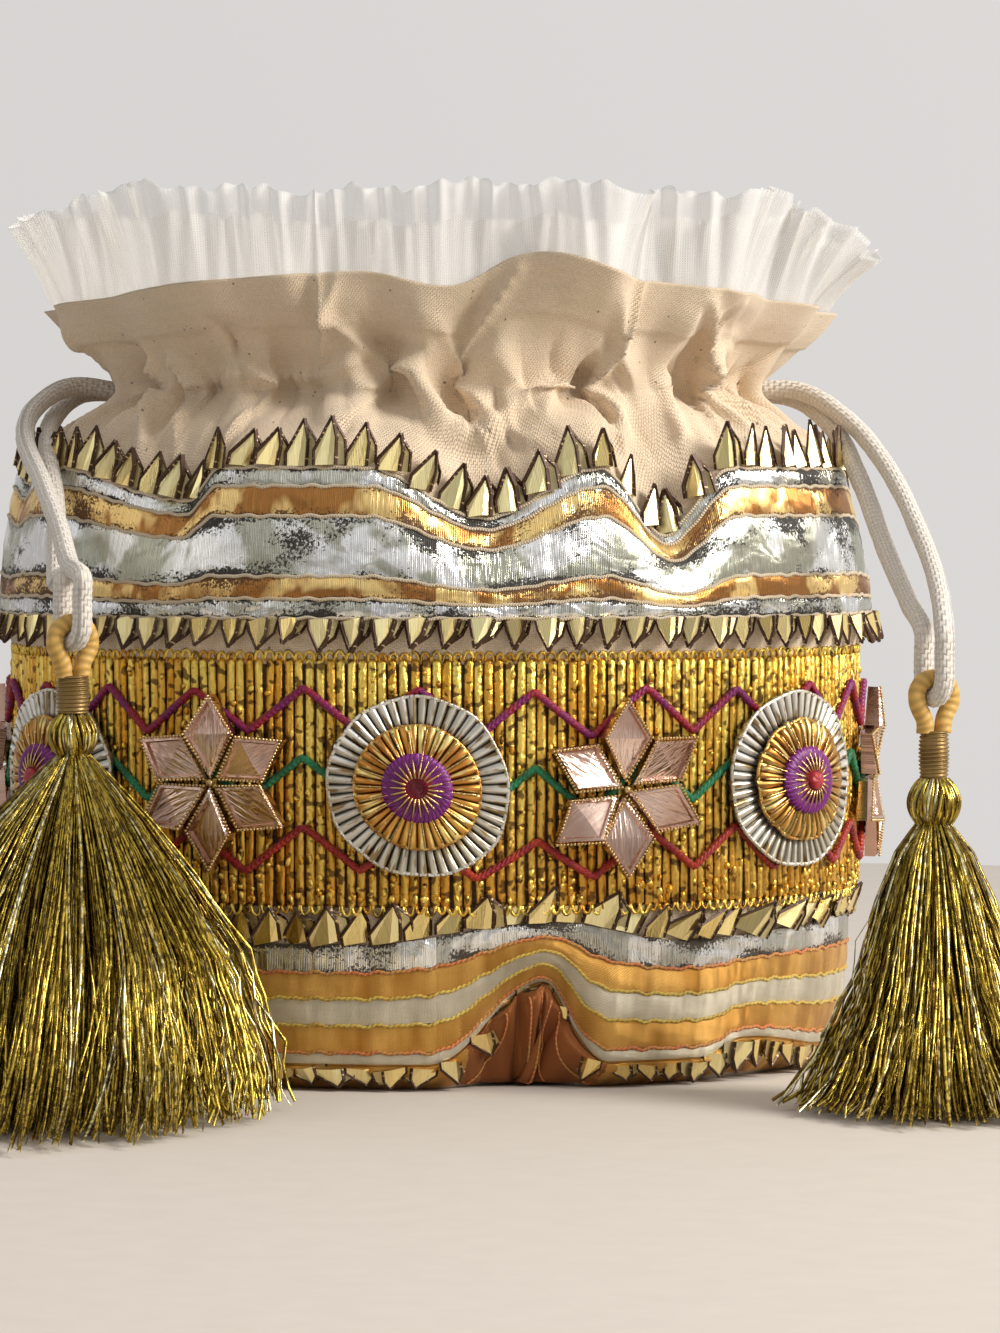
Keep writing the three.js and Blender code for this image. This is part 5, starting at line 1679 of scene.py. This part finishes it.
GOLD_SEAT, CENTRE_SEAT = MOTIF_SEAT + 2.2, MOTIF_SEAT + 4.2
silver_parts, gold_parts, centre_parts, button_parts = [], [], [], []
for number, centre in enumerate(rosette_angles):
    wave, fine = pleats(52, 0.95, 0.5), pleats(104, 0.22)
    silver_parts.append(disc(
        centre, "silver", [13.5, 15, 17, 19, 21, 22.4],
        lambda turn, radius: 0.9 + wave(turn) * smoothstep(radius, 12, 17) + fine(turn + 0.1), 364,
        lambda turn: 1 + 0.012 * np.cos(turn * 26) + 0.012 * np.cos(turn * 7 + number),
    ))
    rim = ring_path(centre, 22.3, 1.5, 220, 0.22)
    rope = cord_mesh("rim", rim, 0.5, 6, closed=True, lobes=2, lobe_depth=0.22, lobe_pitch=3.2)
    silver_parts.append(marked(rope, "crest", 0.9))
    scallop = number % 2 == 1
    spokes = pleats(40, 0.8, 0.5)
    gold_parts.append(disc(
        centre, "gold", [8.0, 9.5, 11.5, 13.5, 15.0, 15.5],
        lambda turn, radius: (1.0 + spokes(turn) * (1 - 0.4 * smoothstep(radius, 14, 16))
                              + 0.9 * smoothstep(15.6 - radius, 0, 3)),
        320, (lambda turn: 1 + 0.035 * np.cos(turn * 16)) if scallop else None, GOLD_SEAT,
    ))
    gold_rim = ring_path(centre, 15.3, 1.0, 192, 0.3 if scallop else 0.0, GOLD_SEAT)
    rope = cord_mesh("gold_rim", gold_rim, 0.5, 6, closed=True, lobes=2, lobe_depth=0.25, lobe_pitch=2.2)
    gold_parts.append(marked(rope, "crest", 0.8))
    strand_lump = pleats(46, 0.55, 0.7)
    centre_parts.append(disc(
        centre, "centre", [0, 1.4, 2.8, 4.2, 5.4, 6.6, 7.8, 8.6],
        lambda turn, radius: (2.9 * dome(radius, 9.2)
                              + strand_lump(turn + radius * 0.05) * smoothstep(radius, 0.5, 3)
                              - 0.7 * np.exp(-(((radius - 4.9) / 0.8) ** 2))),
        276, None, CENTRE_SEAT,
    ))
    if not scallop:
        continue
    button_parts.append(disc(
        centre, "button", [0, 0.8, 1.5, 2.0, 2.2],
        lambda turn, radius: 3.7 + 1.1 * dome(radius, 2.3),
        40, None, CENTRE_SEAT,
    ))

for name, parts, coat, slot, stood_for in (
    ("silver_pleats", silver_parts, SILVER_PLEATS, "silver_pleats", "silver_pleats"),
    ("gold_pleats", gold_parts, GOLD_PLEATS, "gold_pleats", "gold_pleats"),
    ("thread_centres", centre_parts, CENTRE, "magenta_thread", "thread_centre"),
):
    finish_piece(joined(name, parts), coat,
                 stands_for=[f"rosette_{n}_{stood_for}" for n in range(1, 7)])
finish_piece(joined("centre_buttons", button_parts), RED_BUTTON)

# %% [markdown]
# ## Threads over the rosettes
#
# On every rosette, fine gold threads run from the wound centre out over the gold ring. One thin cord is
# modelled, and the sewing tree turns a copy of it to each direction round the rosette's middle.

# %% Fine gold threads across each rosette
SPOKES = 22
reach = np.linspace(2.6, 15.2, 9)
spoke_height = np.interp(reach, [2.6, 5, 8.6, 10, 15.2], [7.5, 7.2, 5.5, 5.4, 4.4])
spoke_path = np.stack([0 * reach, reach, spoke_height], axis=1)
spoke = part_collection("spokes", [marked(cord_mesh("spoke", spoke_path, 0.27, 5), "crest", 0.9)])
spoke_places, spoke_outs, spoke_ups = [], [], []
for centre in rosette_angles:
    hub, above = (on_panel(centre, [[0, 0, 0]], MOTIF_SEAT + lift)[0] for lift in (0, 1))
    out = unit(above - hub)
    for turn in np.arange(SPOKES) * 2 * math.pi / SPOKES:
        rim = on_panel(centre, [[math.cos(turn) * 12, math.sin(turn) * 12, 0]])[0]
        way = unit(rim - hub)
        spoke_places.append(hub)
        spoke_ups.append(way)
        spoke_outs.append(unit(out - way * np.dot(out, way)))
spoke_guide = guide_mesh(spoke_places, spoke_outs, spoke_ups)
spokes = sew_on("rosette_spokes", spoke_guide, spoke, BEAD_GOLD, turn=(0, 0, 0.03), seed=5)
marked(spokes.data, "crest", 0.9)
finish_piece(spokes, BEAD_GOLD)

# %% [markdown]
# ## Stars
#
# Each star has six petals of folded rose gold foil. A petal is a diamond with a raised frame, hollow
# in its middle, and its edge is set with tiny gold beads. One petal and one bead are modelled, and the
# sewing tree places them all.

# %% Star petals
STAR_RADIUS, PETAL_FOLD, PETAL_HALF = 22.5, 0.55, 6.8
FOLD_AT = STAR_RADIUS * PETAL_FOLD
PETAL_CORNERS = [(0, 1.1 - FOLD_AT, 1.9), (PETAL_HALF, 0, 3.0), (0, STAR_RADIUS - FOLD_AT, 3.4),
                 (-PETAL_HALF, 0, 4.6)]


def petal(name, depth):
    """A folded diamond. Its middle is at its widest place and its tip points to +Y."""
    corners = np.array(PETAL_CORNERS)
    middle = corners.mean(axis=0)
    inner = [middle + (corners - middle) * share for share in (0.8, 0.74)]
    rings = [corners * [1, 1, 0], corners + [0, 0, -0.6], corners * [0.93, 0.93, 1] + [0, 0, 0.15]]
    rings.append(inner[0] + [0, 0, 0.25])
    rings.append(inner[1] + [0, 0, -depth])
    points = np.concatenate([*rings, [middle + [0.8, 0, -depth * 0.8]]])
    faces = [(3, 2, 1, 0)] + ring_faces(len(rings), 4)
    last, tip = (len(rings) - 1) * 4, len(points) - 1
    faces += [(last + k, last + (k + 1) % 4, tip) for k in range(4)]
    return shape(name, points, faces)


petals = part_collection("petals", [petal("petal_a", 0.6), petal("petal_b", 0.8)])
petal_turns = np.radians(90 + np.arange(6) * 60)
petal_places, petal_outs, petal_ups, bead_places, bead_outs = [], [], [], [], []
for centre in star_angles:
    for turn in petal_turns:
        way = np.array([math.cos(turn), math.sin(turn), 0])
        here, hub = on_panel(centre, [way * FOLD_AT, way * 1.0], MOTIF_SEAT)
        above = on_panel(centre, [way * FOLD_AT], MOTIF_SEAT + 1)[0]
        out, up = unit(above - here), unit(here - hub)
        up = unit(up - out * np.dot(up, out))
        right = np.cross(up, out)
        petal_places.append(here)
        petal_outs.append(out)
        petal_ups.append(up)
        corners = np.array(PETAL_CORNERS) * [0.97, 0.97, 1] + [0, 0, 0.35]
        for k in range(4):
            for share in np.arange(0, 1, 1 / 13):
                x, y, z = mix(corners[k], corners[(k + 1) % 4], share)
                bead_places.append(here + right * x + up * y + out * z)
                bead_outs.append(out)
petal_guide = guide_mesh(petal_places, petal_outs, petal_ups)
stars = sew_on("rose_gold_stars", petal_guide, petals, ROSE_FOIL, turn=(0.1, 0.16, 0.03), seed=7)
marked(stars.data, "crest", 0.9)
finish_piece(stars, ROSE_FOIL, stands_for=[f"star_{n}" for n in range(1, 7)])

beads = part_collection("beads", [bead("bead", 0.44)])
star_beads = sew_on("star_beads", guide_mesh(bead_places, bead_outs, (0, 0, 1)), beads, BEAD_GOLD,
                    change=0.12, seed=9)
marked(star_beads.data, "crest", 0.9)
finish_piece(star_beads, BEAD_GOLD)
knobs = [on_panel(centre, [[0, 0, 2.6]])[0] for centre in star_angles]
knob_outs = [unit(on_panel(centre, [[0, 0, 3.6]])[0] - knob) for centre, knob in zip(star_angles, knobs)]
knob_parts = part_collection("knobs", [bead("knob", 1.1, 8)])
star_knobs = sew_on("star_knobs", guide_mesh(knobs, knob_outs, (0, 0, 1)), knob_parts, BEAD_GOLD)
marked(star_knobs.data, "crest", 0.9)
finish_piece(star_knobs, BEAD_GOLD)

# %% [markdown]
# ## Stitched lines of the lower band
#
# The satin of the lower band is held by lines of couched thread. Each is a fine twisted cord between
# two stripes, so the light runs along it as on the real thread.

# %% Stitched lines
stitch_lines = [(lower_ends[2], ORANGE_STITCH, "orange"), (satin_steps[2], YELLOW_STITCH, "yellow_upper"),
                (satin_steps[1], YELLOW_STITCH, "yellow_lower"),
                (lower_ends[1], ORANGE_STITCH, "orange_lower")]
for level, coat, name in stitch_lines:
    line = edge_cord(f"stitches_{name}", level, 0.48, wobble=0.2, lobes=2)
    finish_piece(line, coat)
under_band = strip("lower_band_tape", round_angles(240), np.linspace(HEM + 0.6, LOWER_TOP - 0.3, 12), 0.02,
                   0.28)
finish_piece(under_band, SATIN_GOLD)
upper_tape = strip("upper_band_tape", round_angles(240), np.linspace(BAND_BOTTOM, BAND_TOP, 12), 0.02, 0.28)
finish_piece(upper_tape, COTTON)

# %% [markdown]
# ## Net frill
#
# A strip of stiff net stands in the mouth, gathered to the cotton's top edge. Gathering turns length
# into flutes, so the strip's top edge is much longer than the mouth. It is one thin sheet whose flutes
# grow towards its free edge, and the net's holes are in its finish.

# %% Net
NET_HEIGHT = 22.0
net_angles = round_angles(1440)
net_shares = np.linspace(0, 1, 15)
turn = np.radians(net_angles)[:, None]
share = net_shares[None, :]
flute = (
    1.3 * np.sin(47 * turn + 2.2 * np.sin(3 * turn))
    + 1.3 * np.sin(89 * turn + 1.6 * np.sin(5 * turn) + 0.7 * share)
    + 1.0 * np.sin(17 * turn + 1.4)
    + 0.7 * np.sin(137 * turn + 2.5 * np.sin(4 * turn) + 1.5 * share)
)
_, _, _, lip_out = skin_frame(net_angles, LIP - 1.0)
lip_place = cloth_point(net_angles, LIP - 1.0)
level_out = unit(lip_out * [1, 1, 0])[:, None]
spread = 7.0 - 4.0 * np.cos(2 * turn) + 2.0 * np.sin(turn) + 1.5 * np.sin(5 * turn + 1)
push = -2.4 + (spread + 2) * share**1.3 + flute * (0.12 + 0.88 * share)
droop = 14 * swell(net_angles, 86, 40) + 7 * swell(net_angles, -84, 36)
ragged = (
    1.0 * np.sin(7 * turn + 0.5) + 0.9 * np.sin(23 * turn)
    + 0.6 * np.sin(61 * turn + 2) + 0.5 * np.sin(113 * turn)
)
top_line = LIP + 25 - droop[:, None] + ragged - lip_place[:, None, 2]
rise = mix(-0.6, top_line, share)
net_outer = lip_place[:, None] + level_out * push[..., None]
net_outer[..., 2] = lip_place[:, None, 2] + rise
net_inner = net_outer - level_out * 0.25
net_points = np.concatenate([net_outer, net_inner[:, ::-1]], axis=1)
net_middle = np.vstack([net_outer[:, 7], net_outer[:1, 7]])
middle_steps = np.linalg.norm(np.diff(net_middle, axis=0), axis=1)
net_along = np.concatenate([[0], np.cumsum(middle_steps)]) * MM
net_up = np.concatenate([net_shares, net_shares[::-1]]) * NET_HEIGHT * MM
net_mesh = grid_mesh("net_frill_sheet", net_points, net_along, net_up, across=True)
net_frill = finish_piece(net_mesh, NET, stands_for=["net_frill"])

# %% [markdown]
# ## Tassels
#
# A tassel hangs by a mustard cord loop, which goes through the drawstring. Below it come a whipped
# binding, a head of looped threads and a skirt of gold tinsel. Each thread is a path with its own bend,
# and a Geometry Nodes tree gives all the paths their thickness.

# %% Geometry Nodes tree for threads


def make_thread_tree():
    tree, given, result = geometry_tree("spin_threads", [
        ("Sides", "NodeSocketInt"), ("Flatness", "NodeSocketFloat"), ("Finish", "NodeSocketMaterial"),
    ])
    curves = node(tree, "GeometryNodeMeshToCurve", {0: given["Geometry"]})
    turned = node(tree, "GeometryNodeSetCurveTilt", {
        "Curve": curves.outputs[0], "Tilt": read_attribute(tree, "twist", "FLOAT"),
    })
    circle = node(tree, "GeometryNodeCurvePrimitiveCircle", {"Resolution": given["Sides"], "Radius": 1.0})
    squash = node(tree, "ShaderNodeCombineXYZ", {0: 1.0, 1: given["Flatness"], 2: 1.0})
    section = node(tree, "GeometryNodeTransform", {"Geometry": circle.outputs[0], "Scale": squash.outputs[0]})
    swept = node(tree, "GeometryNodeCurveToMesh", {
        "Curve": turned.outputs[0], "Profile Curve": section.outputs[0], "Fill Caps": True,
        "Scale": read_attribute(tree, "reach", "FLOAT"),
    })
    real = node(tree, "GeometryNodeRealizeInstances", {"Geometry": swept.outputs[0]})
    coated = node(tree, "GeometryNodeSetMaterial", {"Geometry": real.outputs[0], "Material": given["Finish"]})
    tree.links.new(coated.outputs[0], result[0])
    return tree


THREADS = make_thread_tree()


def spin(name, paths, reach, tone, down, coat, twist, sides=4, flatness=0.4):
    """Threads along paths of shape (threads, points, 3), in millimetres."""
    count, steps = paths.shape[:2]
    mesh = bpy.data.meshes.new("paths")
    first = (np.arange(count) * steps)[:, None] + np.arange(steps - 1)[None, :]
    edges = np.stack([first.ravel(), first.ravel() + 1], axis=1)
    mesh.from_pydata((paths.reshape(-1, 3) * MM).tolist(), edges.tolist(), [])
    for label, values in (("reach", reach * MM), ("tone", tone), ("down", down), ("twist", twist)):
        marked(mesh, label, np.broadcast_to(values, (count, steps)).ravel())
    return made_by(name, link("paths", mesh), THREADS, {"Sides": sides, "Flatness": flatness, "Finish": coat})


# %% Loop, binding, head and skirt of one tassel
LOOP_HEIGHT = 14.0


def to_world(tassel, points):
    """From the tassel's own axes to the bag's."""
    turn = math.radians(tassel["turn"])
    points = np.asarray(points, float)
    x = points[..., 0] * math.cos(turn) - points[..., 1] * math.sin(turn)
    y = points[..., 0] * math.sin(turn) + points[..., 1] * math.cos(turn)
    return np.stack([x, y, points[..., 2]], axis=-1) + tassel["loop"]


def loop_path():
    legs = [(2.5, -LOOP_HEIGHT), (2.6, -11.5)]
    arc = [(HOOK_RADIUS * cosine(a), HOOK_RADIUS * sine(a) - HOOK_RADIUS) for a in range(180, -1, -30)]
    line = [(-x, z) for x, z in legs] + arc + legs[::-1]
    return smooth_path([(x, 0, z) for x, z in line], 8)


def head_threads(tassel, name, body, top, generator):
    """Threads that bulge over the head, under a neck of binding."""
    length, radius = tassel["head"]
    count, steps = 150, 12
    down = np.linspace(0, 1, steps)[None, :]
    turn = generator.uniform(0, 2 * math.pi, (count, 1)) + generator.uniform(-0.5, 0.5, (count, 1)) * down
    bulge = 0.5 + 0.4 * np.sin(math.pi * np.clip(down * 1.06, 0, 1)) ** 0.8
    wide = radius * bulge * generator.uniform(0.86, 1.12, (count, 1)) - 0.4
    fall = top - length * down * generator.uniform(0.96, 1.06, (count, 1))
    path = np.stack([wide * np.cos(turn), wide * np.sin(turn), fall + 0 * turn], axis=-1)
    tone = generator.uniform(0, 1, (count, 1))
    # The down values keep the head's threads a little darker, as painted shade.
    made = spin(name, to_world(tassel, path), 0.62, tone, 0.2 + 0.4 * down, TINSEL,
                generator.uniform(-2, 2, (count, 1)) + 0 * down, 4, 0.7)
    return finish_piece(made, TINSEL, body)


def skirt_paths(tassel, top, generator, count):
    """Strands that fall from the head, spread on the way down and lie outwards on the floor."""
    steps = 15
    down = np.linspace(0, 1, steps)[None, :] ** 0.85
    outline = np.array(tassel["skirt"])
    wide = np.interp(down, outline[:, 0], outline[:, 1]) * tassel["radius"]
    turn = generator.uniform(0, 2 * math.pi, (count, 1))
    share = generator.uniform(0.02, 1, (count, 1)) ** 0.62
    share = share * (1 + 0.05 * np.sin(turn * 11) + 0.04 * np.sin(turn * 23))
    bend = generator.normal(0, 1, (count, 4))
    sway = down * (1 - 0.3 * down)
    swing = 0.17 * bend[:, :1] * sway * np.sin(down * (2 + bend[:, 1:2]) + bend[:, 2:3] * 2)
    crimp = generator.normal(0, 1.1, (count, steps)) * sway
    reach = wide * share + 1.6 * bend[:, 3:4] * sway * np.sin(down * 5 + bend[:, :1]) + crimp
    x = reach * np.cos(turn + swing) + tassel["lean"][0] * down
    y = reach * np.sin(turn + swing) + tassel["lean"][1] * down
    lying = np.clip((down - 0.8) / 0.2, 0, 1)
    forward = np.clip(-np.sin(turn), 0, 1) ** 2 * tassel["spill"] * lying**1.5 * share
    y = y - forward * generator.uniform(0.3, 1.05, (count, 1))
    pile = 0.7 + 5.0 * generator.uniform(0, 1, (count, 1)) ** 2 * (1.15 - share)
    floor = -tassel["loop"][2]
    rest = floor + 0.5 + pile + generator.uniform(0, 0.8, (count, steps))
    z = np.maximum(mix(top, floor, down), rest)
    # Strands near the middle get lower tones, which the tinsel finish paints darker as shade inside the
    # skirt.
    tone = generator.uniform(0, 1, (count, 1)) * (0.3 + 0.7 * share)
    return np.stack([x, y, z], axis=-1) + tassel["loop"], tone, np.broadcast_to(down, (count, steps))


def down_the_middle(tassel, heights):
    """A straight line of points down a tassel's own axis."""
    return to_world(tassel, np.stack([0 * heights, 0 * heights, heights], axis=1))


for side, tassel in TASSELS.items():
    body = f"{side}_tassel"
    generator = np.random.default_rng(31 if side == "left" else 32)
    loop_line = to_world(tassel, loop_path())
    loop = cord_mesh(f"{side}_loop", loop_line, LOOP_RADIUS, 14, lobes=3, lobe_depth=0.05, lobe_pitch=14)
    finish_piece(loop, MUSTARD, body, [f"{side}_tassel_loop"])
    length, radius = tassel["binding"]
    heights = np.linspace(-LOOP_HEIGHT + 0.6, -LOOP_HEIGHT - 0.3 - length, 96)
    waist = radius * (1 + 0.1 * np.sin(np.linspace(0, math.pi, heights.size)))
    column = down_the_middle(tassel, heights)
    whipping = cord_mesh(f"{side}_binding", column, waist, 24, lobes=1, lobe_depth=0.06, lobe_pitch=1.0)
    finish_piece(whipping, BINDING, body, [f"{side}_tassel_binding"])
    head_top = -LOOP_HEIGHT - 0.6 - length
    head_length, head_radius = tassel["head"]
    shares = np.linspace(0.02, 1.0, 20)
    core_radius = head_radius * (0.42 + 0.42 * np.sin(math.pi * shares) ** 0.8)
    core_line = down_the_middle(tassel, head_top - head_length * shares)
    core = cord_mesh(f"{side}_head_core", core_line, core_radius, 20)
    finish_piece(core, BINDING, body, [f"{side}_tassel_head"])
    head_threads(tassel, f"{side}_head_threads", body, head_top, generator)
    skirt_top = head_top - 0.3 - head_length
    half = tassel["strands"] // 2
    for part in range(2):
        strands, tone, down = skirt_paths(tassel, skirt_top + 1.5, generator, half)
        twist = generator.uniform(-3, 3, (half, 1)) + down * generator.normal(0, 6, (half, 1))
        skirt = spin(f"{side}_skirt_{part + 1}", strands, 0.44, tone, down, TINSEL, twist, 4, 0.32)
        replaced = [f"{side}_tassel_skirt"] if part == 0 else []
        finish_piece(skirt, TINSEL, body, replaced)

# %% [markdown]
# ## Floor and light
#
# The floor is plain and pale, and keeps the object's shadow. A large soft lamp stands to the right and
# a weak one on the left opens the shadows. Foil shows what is round it, so the world is brighter above,
# behind and to the right than where the camera stands.

# %% Floor
FLOOR_RADIUS = 0.78
floor_turns = np.linspace(0, 2 * math.pi, 96, endpoint=False)
floor_rim = [(FLOOR_RADIUS * math.cos(a), FLOOR_RADIUS * math.sin(a), 0) for a in floor_turns]
floor_mesh = bpy.data.meshes.new("floor")
floor_mesh.from_pydata(floor_rim, [], [tuple(range(96))])
floor = link("floor", floor_mesh)
floor_coat = bpy.data.materials.new("pale_floor")
floor_coat.use_nodes = True
floor_tree = floor_coat.node_tree
floor_inputs = floor_tree.nodes["Principled BSDF"].inputs
floor_inputs["Roughness"].default_value = 0.9
floor_place = Signal(floor_tree.nodes.new("ShaderNodeTexCoord").outputs["Object"])
grain = noise(floor_place, 90.0, 3.0)
connect(blend_colours(grain, (0.55, 0.5, 0.445), (0.61, 0.56, 0.5)), floor_inputs["Base Color"])
floor.data.materials.append(floor_coat)

# %% World and lamps
world = bpy.data.worlds.new("studio")
bpy.context.scene.world = world
world.use_nodes = True
sky = world.node_tree
background = sky.nodes["Background"]
x, y, z = split(Signal(sky.nodes.new("ShaderNodeTexCoord").outputs["Generated"]))
behind_camera = step_between(y, -0.5, -0.9)
level = 0.59 + y * 0.1 + x * 0.18 + z * 0.1 - behind_camera * 0.16
connect(blend_colours(level, (0, 0, 0), (1.0, 0.972, 0.95)), background.inputs["Color"])
background.inputs["Strength"].default_value = 1.0


def lamp(name, place, aim, size, power, colour):
    data = bpy.data.lights.new(name, "AREA")
    data.shape = "RECTANGLE"
    data.size, data.size_y = size
    data.energy = power
    data.color = colour
    made = bpy.data.objects.new(name, data)
    made.location = place
    made.rotation_euler = (Vector(aim) - Vector(place)).to_track_quat("-Z", "Y").to_euler()
    bpy.context.collection.objects.link(made)


lamp("window", (1.4, -0.6, 0.95), (0, 0, 0.1), (0.55, 0.75), 34, (1.0, 0.965, 0.92))
lamp("fill", (-1.3, -1.2, 0.8), (0, 0, 0.1), (1.2, 1.0), 3, (0.93, 0.96, 1.0))
print("lamps are set")

# %% [markdown]
# ## Last step
#
# The parts that the sewing trees picked from are removed.

# %% Remove the parts that were picked from
for part in HIDDEN_PARTS:
    bpy.data.objects.remove(part)
